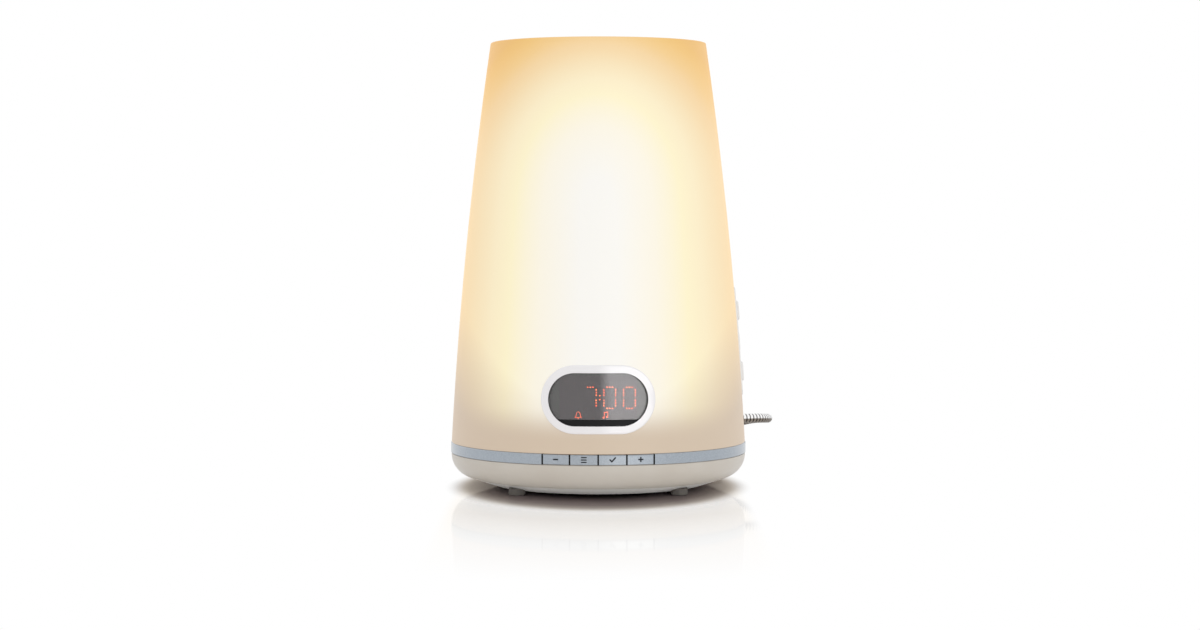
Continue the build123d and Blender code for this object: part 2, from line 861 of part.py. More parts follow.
def cover_screw_bore(azimuth):
    """Counterbored hole for a cover screw."""
    seat = outline_radius(lug_z) - screw_head_height - screw_recess
    head_bore = rod(
        on_circle(seat, azimuth, lug_z), heading(azimuth), screw_head_radius + slide_gap, screw_length
    )
    shank_start = on_circle(deck_radius(), azimuth, lug_z)
    shank_radius = screw_shank_radius + slide_gap
    return head_bore + rod(shank_start, heading(azimuth), shank_radius, screw_length)


def cover_screws():
    """Two screws from behind through the rear cover into the lamp deck."""
    screws = Part()
    for azimuth in lug_azimuths:
        head = outline_radius(lug_z) - screw_recess
        screws += screw(on_circle(head, azimuth, lug_z), heading(azimuth) * -1)
    return screws


# ---- side panel and buttons ----


def button_offsets():
    """Distance of each side button up the wall from the panel's middle."""
    middle = (len(button_names) - 1) / 2
    return [(middle - index) * button_pitch for index in range(len(button_names))]


def side_skin(outer_inset, inner_inset):
    """Patch of curved wall round the side panel."""
    half_length = panel_length / 2 + panel_lap_end
    half_angle = math.degrees(1.25 * panel_width / rim_radius)
    section = wall_section(panel_z - half_length, panel_z + half_length, outer_inset, inner_inset)
    return turned(section, panel_azimuth - half_angle, panel_azimuth + half_angle)


def side_prism(plane, length, width, corner, depth):
    """Prism with rounded corners that reaches a depth to both sides of the wall's face."""
    return extrude(plane * RectangleRounded(length, width, corner), amount=depth, both=True)


def side_panel():
    """Raised strip on the right of the rear cover that frames the three side buttons."""
    plane = outline_plane(panel_azimuth, panel_z)
    reach = 2 * panel_neck_depth
    face = side_skin(-panel_proud, -seat_gap) & side_prism(
        plane, panel_length, panel_width, panel_corner, reach
    )
    neck = side_skin(-panel_proud, panel_neck_depth) & side_prism(
        plane, panel_neck_length, panel_neck_width, panel_neck_corner, reach
    )
    panel = face + neck
    hollow = side_skin(panel_skin - panel_proud, reach) & side_prism(
        plane,
        panel_neck_length - 2 * panel_neck_wall,
        panel_neck_width - 2 * panel_neck_wall,
        panel_neck_corner - panel_neck_wall,
        reach,
    )
    panel -= hollow
    for offset in button_offsets():
        panel -= side_prism(
            plane * Pos(offset, 0, 0),
            button_length + 2 * slide_gap,
            button_width + 2 * slide_gap,
            button_corner + slide_gap,
            reach,
        )
    return panel


def side_button(offset, proud):
    """Domed button with a retaining flange behind the panel and a stem to its switch."""
    plane = outline_plane(panel_azimuth, panel_z)
    spot = plane * Pos(offset, 0, 0)
    flange_inset = panel_skin - panel_proud + slide_gap
    depth = 2 * panel_neck_depth
    body = side_skin(-proud, flange_inset + button_flange_thickness) & side_prism(
        spot, button_length, button_width, button_corner, depth
    )
    top_face = body.faces().sort_by_distance(spot.position + plane.z_dir * panel_width)[0]
    body = fillet(top_face.edges(), button_rounding)
    flange = side_skin(flange_inset, flange_inset + button_flange_thickness) & side_prism(
        spot, button_length + 2 * button_flange, button_width + button_flange, button_corner, depth
    )
    reach = side_board_depth - switch_height - plunger_height - button_travel - seat_gap
    stem = extrude(spot * Pos(0, 0, -reach) * Circle(key_stem_radius), amount=reach)
    return body + flange + stem


def side_post_offsets():
    """Places of the two posts that hold the side board."""
    reach = side_board_length / 2 - side_post_radius
    return [-reach, reach]


def side_post(offset):
    """Post inside the rear cover that holds one end of the side board."""
    plane = outline_plane(panel_azimuth, panel_z)
    spot = plane * Pos(offset, 0, -side_board_depth)
    return extrude(spot * Circle(side_post_radius), amount=side_board_depth - rear_wall / 2)


def side_board():
    """Board behind the side panel."""
    plane = outline_plane(panel_azimuth, panel_z)
    spot = plane * Pos(0, 0, -side_board_depth - board_thickness)
    return extrude(spot * Rectangle(side_board_length, side_board_width), amount=board_thickness)


def side_switches():
    """Three switches behind the side buttons."""
    plane = outline_plane(panel_azimuth, panel_z)
    switches = Part()
    for offset in button_offsets():
        spot = plane * Pos(offset, 0, -side_board_depth)
        switches += tact_switch(Plane(spot))
    return switches


# ---- lamp deck, reflector, holder and bulb ----


def deck_radius():
    """Radius of the lamp deck: it clears the shade and the rear cover's lips."""
    return outline_radius(deck_top_z + deck_rim_height, lip_inset + lip_thickness + moving_gap)


def lamp_deck():
    """Disc over the electronics on four posts, with a raised rim, vents and two rear lugs."""
    edge = deck_radius()
    rim_inner = edge - deck_rim_wall
    deck = ring(holder_radius + fixed_gap, edge, deck_z, deck_top_z)
    deck += ring(rim_inner, edge, deck_z, deck_top_z + deck_rim_height)
    for azimuth in post_azimuths:
        centre = on_circle(post_circle_radius, azimuth, 0)
        deck += upright(centre.X, centre.Y, flange_top_z, deck_z + fixed_gap, post_radius)
        pilot_top = table_gap + screw_length + pilot_spare
        deck -= upright(centre.X, centre.Y, flange_top_z, pilot_top, screw_shank_radius)
    for azimuth in lug_azimuths:
        lug_start = on_circle(edge - lug_size, azimuth, lug_z)
        deck += rod(lug_start, heading(azimuth), lug_size / 2, lug_size)
        bore_start = on_circle(outline_radius(lug_z) - screw_recess - screw_length, azimuth, lug_z)
        deck -= rod(bore_start, heading(azimuth), screw_shank_radius, lug_size)
    vent_circle_radius = (rim_inner + edge - reflector_margin) / 2
    for index in range(deck_vents):
        spot = on_circle(vent_circle_radius, (index + 0.5) * 360 / deck_vents, 0)
        deck -= upright(spot.X, spot.Y, deck_z, deck_top_z, deck_vent_radius)
    plane = outline_plane(panel_azimuth, panel_z)
    depth = side_board_depth + board_thickness + deck_notch_gap
    notch_width = side_board_width + 2 * deck_notch_gap
    notch = plane * Pos(0, 0, -depth) * Rectangle(2 * side_board_length, notch_width)
    return deck - extrude(notch, amount=2 * depth)


def reflector():
    """Spun aluminium dish that throws the light up and forward."""
    inner_r = holder_flange_radius + moving_gap
    reach = deck_radius() - reflector_margin - inner_r
    curve = (reach**2 + reflector_rise**2) / (2 * reflector_rise)
    sweep_angle = math.asin(reach / curve)
    centre_z = deck_top_z + curve

    def on_dish(share, inset):
        angle = sweep_angle * share
        radius = curve - inset
        return (inner_r + radius * math.sin(angle), centre_z - radius * math.cos(angle))

    under = ThreePointArc(*[on_dish(share, 0) for share in (0, 0.5, 1)])
    top = ThreePointArc(*[on_dish(share, reflector_thickness) for share in (1, 0.5, 0)])
    return turned(make_face([under, Line(under @ 1, top @ 0), top, Line(top @ 1, under @ 0)]))


def lamp_holder():
    """Screw lamp holder: an insulating barrel through the deck with a flange on top of it."""
    bore = sleeve_radius + fixed_gap
    section = polygon(
        (0, holder_low_z),
        (holder_radius, holder_low_z),
        (holder_radius, deck_top_z),
        (holder_flange_radius, deck_top_z),
        (holder_flange_radius, deck_top_z + holder_flange_thickness),
        (holder_radius, deck_top_z + holder_flange_thickness),
        (holder_radius, holder_top_z),
        (bore, holder_top_z),
        (bore, holder_low_z + holder_floor),
        (0, holder_low_z + holder_floor),
    )
    return turned(section)


def holder_sleeve():
    """Metal screw sleeve inside the lamp holder."""
    low_z = holder_low_z + holder_floor
    return ring(sleeve_radius - sleeve_wall, sleeve_radius, low_z, holder_top_z - sleeve_setback)


def holder_contact():
    """Springy centre contact at the bottom of the lamp holder."""
    low_z = holder_low_z + holder_floor
    strip_top = low_z + contact_strip_thickness
    strip = block(0, 0, low_z, strip_top, contact_strip_length, contact_strip_width)
    return strip + ring(0, contact_button_radius, low_z, low_z + contact_button_height)


def bulb_cap():
    """Ribbed metal screw cap of the bulb."""
    low_z = bulb_low_z + bulb_tip_height
    rib = (bulb_seam_z - low_z) / bulb_cap_ribs
    inner_radius = bulb_cap_radius - bulb_tip_step
    points = [(inner_radius, low_z)]
    for index in range(bulb_cap_ribs):
        points.append((bulb_cap_radius - bulb_thread_depth, low_z + index * rib))
        points.append((bulb_cap_radius, low_z + (index + 0.5) * rib))
    points.append((bulb_cap_radius - bulb_thread_depth, bulb_seam_z))
    points.append((inner_radius, bulb_seam_z))
    return turned(polygon(*points))


def bulb_contact():
    """Insulator and solder contact at the tip of the bulb."""
    collar_z = bulb_low_z + bulb_tip_height
    collar_radius = bulb_cap_radius - bulb_tip_step
    section = polygon(
        (0, bulb_low_z),
        (bulb_contact_radius, bulb_low_z),
        (collar_radius, collar_z),
        (collar_radius, collar_z + bulb_tip_height),
        (0, collar_z + bulb_tip_height),
    )
    return turned(section)


def bulb_glass_envelope():
    """Tubular opal glass of the bulb, thin-walled and open into its cap."""
    outer = glass_line(0)
    inner = glass_line(bulb_glass_wall)
    ends = [Line(outer[-1] @ 1, inner[-1] @ 1), Line(outer[0] @ 0, inner[0] @ 0)]
    return turned(make_face(outer + inner + ends))


def glass_line(inset):
    """Outline of one face of the glass: neck, shoulder, straight side and domed end."""
    radius = bulb_radius - inset
    neck_radius = bulb_cap_radius - bulb_neck_step - inset
    top_z = bulb_low_z + bulb_length - inset
    shoulder_z = bulb_seam_z + bulb_shoulder
    dome_z = top_z - radius
    neck = Spline(
        (neck_radius, bulb_seam_z),
        (radius, shoulder_z),
        tangents=[(0.2, 1), (0, 1)],
    )
    side = Line((radius, shoulder_z), (radius, dome_z))
    half = math.sqrt(0.5)
    dome = ThreePointArc((radius, dome_z), (radius * half, dome_z + radius * half), (0, top_z))
    return [neck, side, dome]


# ---- mains electronics ----


def main_board():
    """Power and radio board on the flange of the bowl."""
    return block(
        0,
        main_board_y,
        main_board_z,
        main_board_top_z,
        main_board_width,
        main_board_depth,
        main_board_corner,
    )


def transformer_core():
    """Laminated iron core of the mains transformer."""
    low_z = main_board_top_z
    core = block(0, 0, low_z, low_z + core_height, core_width, core_depth)
    window_width_x = (core_width - 4 * core_limb) / 2
    for side in (-1, 1):
        x = side * (core_limb + window_width_x / 2)
        core -= block(
            x, 0, low_z + core_limb, low_z + core_height - core_limb, window_width_x, core_depth
        )
    return Pos(transformer_x(), main_board_y, 0) * core


def transformer_x():
    """The transformer stands near the right-hand edge of the main board."""
    return main_board_width / 2 - core_width / 2 - board_margin


def transformer_coils():
    """Wound coils round the middle limb of the core."""
    low_z = main_board_top_z + core_limb + fixed_gap
    high_z = main_board_top_z + core_height - core_limb - fixed_gap
    inner_width = core_width - 2 * core_limb - 2 * fixed_gap
    coils = block(0, 0, low_z, high_z, inner_width, core_depth + 2 * coil_bulge, coil_bulge)
    coils -= block(
        0, 0, low_z, high_z, 2 * core_limb + 2 * fixed_gap, core_depth + 2 * fixed_gap
    )
    return Pos(transformer_x(), main_board_y, 0) * coils


def capacitors():
    """Smoothing capacitors in a row along the front of the board."""
    low_z = main_board_top_z
    row_y = main_board_y - main_board_depth / 2 + capacitor_row
    cans = Part()
    x = -main_board_width / 2 + board_margin
    for radius, height in capacitor_sizes:
        can = upright(x + radius, row_y, low_z, low_z + height, radius)
        cans += fillet(can.edges().group_by(Axis.Z)[-1], capacitor_rounding)
        x += 2 * radius + capacitor_gap
    return cans


def heat_sink():
    """Finned aluminium heat sink of the lamp dimmer."""
    centre_x = -main_board_width / 2 + heat_sink_width / 2 + board_margin
    centre_y = main_board_y + main_board_depth / 2 - heat_sink_row
    sink = block(
        0, (heat_sink_depth - heat_sink_base) / 2, 0, heat_sink_height, heat_sink_width, heat_sink_base
    )
    for index in range(heat_sink_fins):
        span = heat_sink_width - heat_sink_fin
        x = -span / 2 + index * span / (heat_sink_fins - 1)
        sink += block(x, 0, 0, heat_sink_height, heat_sink_fin, heat_sink_depth)
    return Pos(centre_x, centre_y, main_board_top_z) * sink


def lamp_leads():
    """Two insulated wires from the main board up to the lamp holder."""
    leads = Part()
    start_y = main_board_y
    end_y = start_y + lead_wire_shift
    for gap in lead_wire_gaps:
        x = transformer_x() - core_width / 2 - gap
        points = [
            (x, start_y, main_board_top_z),
            (x, start_y, main_board_top_z + lead_wire_rise),
            (x, end_y, holder_low_z - 2 * lead_wire_bend),
            (x, end_y, holder_low_z),
        ]
        path = FilletPolyline(*points, radius=lead_wire_bend)
        leads += sweep(Plane(origin=path @ 0, z_dir=path % 0) * Circle(lead_wire_radius), path)
    return leads


# ---- loudspeaker ----


def speaker_basket():
    """Pressed frame of the loudspeaker: a rim, a conical basket and a flat back."""
    rim_r = speaker_radius
    back_r = magnet_radius
    back = -speaker_basket_depth
    section = polygon(
        (rim_r, 0),
        (rim_r, -speaker_rim),
        (rim_r - speaker_rim_width, -speaker_rim),
        (back_r + speaker_sheet, back),
        (speaker_hub_radius, back),
        (speaker_hub_radius, back + speaker_sheet),
        (back_r, back + speaker_sheet),
        (rim_r - speaker_rim_width - speaker_surround, 0),
    )
    return speaker_turned(section)


def speaker_cone():
    """Paper cone with its dust dome, inside the basket."""
    edge = speaker_radius - speaker_rim_width - 2 * speaker_surround
    back = -speaker_basket_depth / 2
    dome = ThreePointArc(
        (0, back + dome_height),
        (dome_radius / 2, back + 3 / 4 * dome_height),
        (dome_radius, back),
    )
    cone = Polyline(
        dome @ 1,
        (edge, -cone_rise),
        (edge, -2 * cone_rise),
        (dome_radius, back - cone_rise),
        (0, back - cone_rise),
        dome @ 0,
    )
    return speaker_turned(make_face([dome, cone]))


def speaker_magnet():
    """Ring magnet behind the basket."""
    front = -speaker_basket_depth
    back = front - magnet_depth
    return speaker_turned(polygon((0, back), (magnet_radius, back), (magnet_radius, front), (0, front)))


def speaker_turned(section):
    """Revolve a section (radius, depth) about the loudspeaker's own level axis, facing +Y."""
    front = (0, speaker_front_distance(), speaker_z)
    face = Plane(origin=front, x_dir=(1, 0, 0), z_dir=(0, 0, 1)) * section
    return revolve(face, Axis(front, (0, 1, 0)), 360)


def speaker_front_distance():
    """Distance from the axis at which the flat rim meets the inside of the curved wall."""
    inner_radius = outline_radius(speaker_z + speaker_radius, rear_wall)
    return math.sqrt(inner_radius**2 - speaker_radius**2) - speaker_gap


def speaker_bracket():
    """Strap on the two rear posts that holds the loudspeaker against its slots."""
    low_z = speaker_z - speaker_radius + speaker_rim_width
    high_z = speaker_z + speaker_radius - speaker_rim_width
    front_y = speaker_front_distance() - speaker_basket_depth
    rear_posts = [on_circle(post_circle_radius, azimuth, 0) for azimuth in post_azimuths[2:]]
    half_x = max(centre.X for centre in rear_posts)
    strap_y = front_y - carrier_thickness
    strap = block(0, strap_y + carrier_thickness / 2, low_z, high_z, 2 * half_x, carrier_thickness)
    strap -= rod(
        Vector(0, strap_y, speaker_z), Vector(0, 1, 0), magnet_radius + fixed_gap, carrier_thickness
    )
    for centre in rear_posts:
        depth = strap_y + carrier_thickness - centre.Y
        arm = block(centre.X, centre.Y + depth / 2, low_z, high_z, 2 * post_radius, depth)
        strap += arm
    for centre in rear_posts:
        strap -= upright(centre.X, centre.Y, 0, body_height, post_radius)
    return strap


# ---- mains lead ----


def outlet_direction():
    """Level direction in which the lead leaves the rear cover."""
    angle = math.radians(outlet_heading)
    return Vector(math.cos(angle), math.sin(angle), 0)


def outlet_point(distance):
    """Point on the outlet's axis, measured outwards from the cover's outer face."""
    surface = on_circle(outline_radius(outlet_z), outlet_azimuth, outlet_z)
    return surface + outlet_direction() * distance


def cord_relief():
    """Tapered flexible strain relief with grooves, held in the rear cover by an inner flange."""
    start = outlet_boss_proud
    bore_back = -outlet_boss_depth
    collar = relief_root_radius + relief_collar_width
    points = [
        (relief_flange_radius, bore_back),
        (relief_root_radius, bore_back),
        (relief_root_radius, start),
        (collar, start),
        (collar, start + relief_flange_thickness),
    ]
    taper = (relief_root_radius - relief_tip_radius) / relief_length
    pitch = (relief_length - 2 * relief_plain_end) / relief_grooves
    for index in range(relief_grooves):
        near = start + relief_plain_end + index * pitch
        far = near + pitch / 2
        for distance, depth in ((near, 0), (near, 1), (far, 1), (far, 0)):
            surface = relief_root_radius - taper * (distance - start)
            points.append((surface - depth * relief_groove_depth, distance))
    points.append((relief_tip_radius, start + relief_length))
    points.append((0, start + relief_length))
    points.append((0, bore_back - relief_flange_thickness))
    points.append((relief_flange_radius, bore_back - relief_flange_thickness))
    origin = outlet_point(0)
    direction = outlet_direction()
    side = Vector(0, 0, 1)
    plane = Plane(origin=origin, x_dir=side, z_dir=side.cross(direction))
    return revolve(plane * polygon(*points), Axis(origin, direction), 360)


def cord_route():
    """Corners of the free lead from the strain relief's tip to where it joins the coil."""
    tip = outlet_point(outlet_boss_proud + relief_length)
    join = math.radians(coil_join_angle)
    end = Vector(
        coil_centre[0] + coil_outer_turn * math.cos(join),
        coil_centre[1] + coil_outer_turn * math.sin(join),
        cord_rest_z,
    )
    return [
        tip,
        outlet_point(outlet_boss_proud + relief_length + cord_first_run),
        Vector(102.8, 86.2, 31.5),
        Vector(103.5, 104.2, 29.9),
        Vector(94.6, 122.1, 28.2),
        Vector(79.0, 136.1, 22.5),
        Vector(58.2, 148.1, 14.0),
        Vector(33.4, 158.7, 6.4),
        end,
    ]


def bend_radii(route):
    """Arc radius at each inner corner: 0.45 of the shorter run over the tangent of half the turn."""
    radii = []
    for before, corner, after in zip(route, route[1:], route[2:]):
        run_in = corner - before
        run_out = after - corner
        half_turn = math.radians(run_in.get_angle(run_out)) / 2
        radii.append(0.45 * min(run_in.length, run_out.length) / math.tan(half_turn))
    return radii


def tube(route):
    """Round lead along straight runs joined by tangent arcs."""
    path = FilletPolyline(*route, radius=bend_radii(route))
    lead = sweep(Plane(origin=path @ 0, z_dir=path % 0) * Circle(cord_diameter / 2), path)
    return lead, path.length


def mains_cord():
    """Free lead from the strain relief to the coil."""
    route = cord_route()
    lead, length = tube(route)
    expected = math.pi * cord_diameter**2 / 4 * length
    print("mains_cord radii", [round(radius, 1) for radius in bend_radii(route)])
    print("mains_cord length", round(length, 1), "volume ratio", round(lead.volume / expected, 4))
    return lead


def cord_coil():
    """Outer shape of the coiled lead: a flat round bundle with rounded edges."""
    height = coil_layers * cord_diameter
    section = Pos(coil_mid_radius, height / 2) * RectangleRounded(
        2 * coil_half_width, height, cord_diameter / 2 - 0.01
    )
    bundle = revolve(Plane.XZ * section, Axis.Z, 360)
    return Pos(coil_centre[0], coil_centre[1], 0) * bundle


def tail_route():
    """Corners of the short tail from the coil's upper layer to the plug."""
    upper_z = (coil_layers - 0.5) * cord_diameter
    near_y = coil_centre[1] - coil_outer_turn
    return [
        Vector(coil_centre[0] + tail_start[0], near_y + tail_start[1], upper_z),
        plug_rear() - plug_direction() * tail_run,
        plug_rear(),
    ]


def plug_direction():
    """Level direction in which the plug points."""
    angle = math.radians(plug_heading)
    return Vector(math.cos(angle), math.sin(angle), 0)


def plug_rear():
    """Middle of the plug's cord end."""
    near_y = coil_centre[1] - coil_outer_turn
    return Vector(coil_centre[0] + plug_offset[0], near_y + plug_offset[1], plug_thickness / 2)


def cord_tail():
    """Last stretch of the lead, from the coil into the plug."""
    lead, _ = tube(tail_route())
    return lead


def plug_plane(distance):
    """Plane across the plug at a distance from its cord end."""
    direction = plug_direction()
    return Plane(origin=plug_rear() + direction * distance, x_dir=(0, 0, 1), z_dir=direction)


def mains_plug():
    """Flat two-pin plug: a narrow grip that widens into a six-sided nose."""
    faces = [
        plug_plane(distance) * RectangleRounded(tall, wide, tall * plug_corner_share)
        for distance, tall, wide in plug_stages
    ]
    return loft(faces, ruled=True)


def plug_pins():
    """Two round contact pins with rounded ends."""
    pins = Part()
    for side in (-1, 1):
        pin = extrude(
            plug_plane(plug_length) * Pos(0, side * pin_spacing / 2, 0) * Circle(pin_radius),
            amount=pin_length,
        )
        pins += fillet(pin.edges().group_by(Axis.X)[-1], pin_radius * 0.8)
    return pins


# ---- the whole clock ----

pieces = {
    "base_shell": base_shell,
    "base_plate": base_plate,
    "rubber_feet": rubber_feet,
    "base_screws": base_screws,
    "trim_band": trim_band,
    "rear_cover": rear_cover,
    "cover_screws": cover_screws,
    "side_panel": side_panel,
    "side_board": side_board,
    "side_switches": side_switches,
    "front_carrier": front_carrier,
    "display_shroud": display_shroud,
    "display_board": display_board,
    "display_matrix": display_matrix,
    "key_board": key_board,
    "key_switches": key_switches,
    "lamp_deck": lamp_deck,
    "reflector": reflector,
    "lamp_holder": lamp_holder,
    "holder_sleeve": holder_sleeve,
    "holder_contact": holder_contact,
    "main_board": main_board,
    "transformer_core": transformer_core,
    "transformer_coils": transformer_coils,
    "capacitors": capacitors,
    "heat_sink": heat_sink,
    "lamp_leads": lamp_leads,
    "speaker_basket": speaker_basket,
    "speaker_cone": speaker_cone,
    "speaker_magnet": speaker_magnet,
    "speaker_bracket": speaker_bracket,
    "cord_relief": cord_relief,
    "mains_cord": mains_cord,
    "cord_coil": cord_coil,
    "cord_tail": cord_tail,
    "mains_plug": mains_plug,
    "plug_pins": plug_pins,
    "lampshade": lampshade,
    "top_cap": top_cap,
    "display_bezel": display_bezel,
    "display_window": display_window,
    "bulb_cap": bulb_cap,
    "bulb_contact": bulb_contact,
    "bulb_glass": bulb_glass_envelope,
}
for key_name, key_azimuth in zip(key_names, key_azimuths()):
    pieces[key_name] = lambda azimuth=key_azimuth: front_key(azimuth)
for button_name, button_offset, proud in zip(button_names, button_offsets(), button_proud):
    pieces[button_name] = lambda offset=button_offset, rise=proud: side_button(offset, rise)

os.makedirs("parts", exist_ok=True)
for node_name, make_piece in pieces.items():
    piece = make_piece()
    piece.label = node_name
    export_step(piece, f"parts/{node_name}.step")
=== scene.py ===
"""Looks of a sunrise alarm clock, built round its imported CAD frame, in metres."""

import json
import logging
import math
from collections.abc import Iterable, Sequence
from dataclasses import dataclass
from enum import Enum

import bpy
from mathutils import Euler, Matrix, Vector
from mathutils.bvhtree import BVHTree

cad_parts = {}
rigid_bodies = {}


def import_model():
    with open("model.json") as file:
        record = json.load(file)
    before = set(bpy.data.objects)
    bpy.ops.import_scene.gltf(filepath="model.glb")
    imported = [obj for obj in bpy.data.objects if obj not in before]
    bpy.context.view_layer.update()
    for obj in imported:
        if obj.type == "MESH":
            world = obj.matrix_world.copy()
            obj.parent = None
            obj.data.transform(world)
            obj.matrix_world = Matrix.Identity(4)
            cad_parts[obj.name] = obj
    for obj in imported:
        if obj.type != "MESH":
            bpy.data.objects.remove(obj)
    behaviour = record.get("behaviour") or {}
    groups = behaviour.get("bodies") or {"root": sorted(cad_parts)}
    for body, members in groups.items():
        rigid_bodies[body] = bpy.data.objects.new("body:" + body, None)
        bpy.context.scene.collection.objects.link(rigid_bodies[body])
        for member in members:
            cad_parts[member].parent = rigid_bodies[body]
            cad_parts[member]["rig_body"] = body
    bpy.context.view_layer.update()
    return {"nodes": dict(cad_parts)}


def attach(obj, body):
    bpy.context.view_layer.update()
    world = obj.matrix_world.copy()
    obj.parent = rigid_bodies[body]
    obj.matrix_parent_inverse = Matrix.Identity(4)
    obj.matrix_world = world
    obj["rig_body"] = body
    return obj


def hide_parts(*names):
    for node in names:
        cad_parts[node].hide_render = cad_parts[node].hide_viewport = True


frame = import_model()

log = logging.getLogger("sunrise_clock")

MM = 0.001
# Length of one wave of the wave texture at a scale of 1, in metres.
WAVE_LENGTH = 0.314
Point = tuple[float, float, float]
Flat = tuple[float, float]
Colour = tuple[float, float, float, float]
Tree = bpy.types.NodeTree
Node = bpy.types.Node
Socket = bpy.types.NodeSocket


def linear(code: str) -> Colour:
    """Turns an sRGB hex colour into linear light.

    Args:
        code: The colour as "#RRGGBB".

    Returns:
        Linear red, green, blue and an alpha of 1.
    """
    steps = [int(code[i : i + 2], 16) / 255 for i in (1, 3, 5)]
    light = [s / 12.92 if s <= 0.04045 else ((s + 0.055) / 1.055) ** 2.4 for s in steps]
    return (light[0], light[1], light[2], 1.0)


def plain(value: object) -> object:
    """Returns a value as a socket takes it: a hex colour as linear light, anything else as it is."""
    return linear(value) if isinstance(value, str) else value


def add_node(tree: Tree, kind: str, settings: dict | None = None, links: dict | None = None) -> Node:
    """Adds one node with its settings and its links.

    Args:
        tree: The node tree that gets the node.
        kind: The node's type, such as "ShaderNodeMath".
        settings: Values by attribute name, by socket name or number, or the stops of a ramp.
        links: What feeds each input, by socket name or number: an output, or a node, which stands
            for its first output.

    Returns:
        The new node.
    """
    node = tree.nodes.new(kind)
    for key, value in (settings or {}).items():
        if key == "stops":
            set_stops(node.color_ramp, value)
        elif isinstance(key, str) and hasattr(node, key):
            setattr(node, key, value)
        else:
            node.inputs[key].default_value = plain(value)
    for key, source in (links or {}).items():
        tree.links.new(source.outputs[0] if isinstance(source, Node) else source, node.inputs[key])
    return node


def set_stops(ramp: bpy.types.ColorRamp, stops: Sequence[tuple[float, str | Colour]]) -> None:
    """Puts the given stops on a colour ramp.

    Args:
        ramp: The ramp of a new node, which has two stops.
        stops: Place and colour of each stop, in rising order, as a hex colour or linear light.
    """
    while len(ramp.elements) < len(stops):
        ramp.elements.new(0.5)
    for element, (place, colour) in zip(ramp.elements, stops):
        element.position = place
        element.color = plain(colour)


def scale_for(size_mm: float, unit: float = 1.0) -> float:
    """Returns the texture scale for a size in millimetres, from its size in metres at a scale of 1."""
    return unit / (size_mm * MM)


def mottle(
    tree: Tree, place: Socket, size_mm: float, detail: float, stops: Sequence[tuple[float, str]]
) -> tuple[Node, Node]:
    """Adds a soft random pattern and the colours that it runs through.

    Args:
        tree: The node tree.
        place: The place on the object.
        size_mm: The pattern's size in millimetres.
        detail: How many finer layers the pattern has.
        stops: Place and hex colour of each stop.

    Returns:
        The pattern and the ramp of its colours.
    """
    pattern = add_node(
        tree, "ShaderNodeTexNoise", {"Scale": scale_for(size_mm), "Detail": detail}, {"Vector": place}
    )
    return pattern, add_node(tree, "ShaderNodeValToRGB", {"stops": stops}, {"Fac": pattern})


class Lay(Enum):
    """The way that a metal's tool marks run."""

    TURNED = "RINGS"
    DRAWN = "BANDS"


@dataclass(frozen=True)
class Finish:
    """What a surface is made of and how it was made."""

    name: str

    def material(self) -> bpy.types.Material:
        """Makes the finish's material the first time that it is asked for.

        Returns:
            The material, the same one each time.
        """
        made = bpy.data.materials.get(self.name)
        if made is None:
            made = bpy.data.materials.new(self.name)
            made.use_nodes = True
            tree = made.node_tree
            tree.nodes.clear()
            shader = self.shade(tree)
            add_node(tree, "ShaderNodeOutputMaterial", links={"Surface": shader})
        return made

    def shade(self, tree: Tree) -> Node:
        """Adds the finish's nodes to a material's empty tree.

        Args:
            tree: The material's node tree.

        Returns:
            The node whose first output is the finished shader.
        """
        raise NotImplementedError


@dataclass(frozen=True)
class MouldedPlastic(Finish):
    """Injection-moulded plastic: the grain is that of the spark-eroded mould wall.

    The real grain is finer and wouldn't show, so it is drawn coarser.
    """

    colour: str
    flow_colour: str
    roughness: float
    grain_mm: float = 0.5
    grain_depth_mm: float = 0.02
    flow_mm: float = 22.0
    gloss_spread: float = 0.05
    ior: float = 1.53
    coat: float = 0.0

    def shade(self, tree: Tree) -> Node:
        """Flow clouds in the colour, uneven gloss and a fine grain in the normal."""
        place = add_node(tree, "ShaderNodeTexCoord").outputs["Object"]
        stops = [(0.35, self.colour), (0.7, self.flow_colour)]
        _, colour = mottle(tree, place, self.flow_mm, 3.0, stops)
        grain = add_node(
            tree, "ShaderNodeTexNoise",
            {"Scale": scale_for(self.grain_mm), "Detail": 2.0, "Roughness": 0.6}, {"Vector": place},
        )
        gloss = add_node(
            tree, "ShaderNodeMapRange",
            {"To Min": self.roughness - self.gloss_spread, "To Max": self.roughness + self.gloss_spread},
            {"Value": grain},
        )
        bump = add_node(
            tree, "ShaderNodeBump", {"Strength": 0.5, "Distance": self.grain_depth_mm * MM},
            {"Height": grain},
        )
        return add_node(
            tree, "ShaderNodeBsdfPrincipled",
            {"IOR": self.ior, "Coat Weight": self.coat, "Coat Roughness": 0.06},
            {"Base Color": colour, "Roughness": gloss, "Normal": bump},
        )


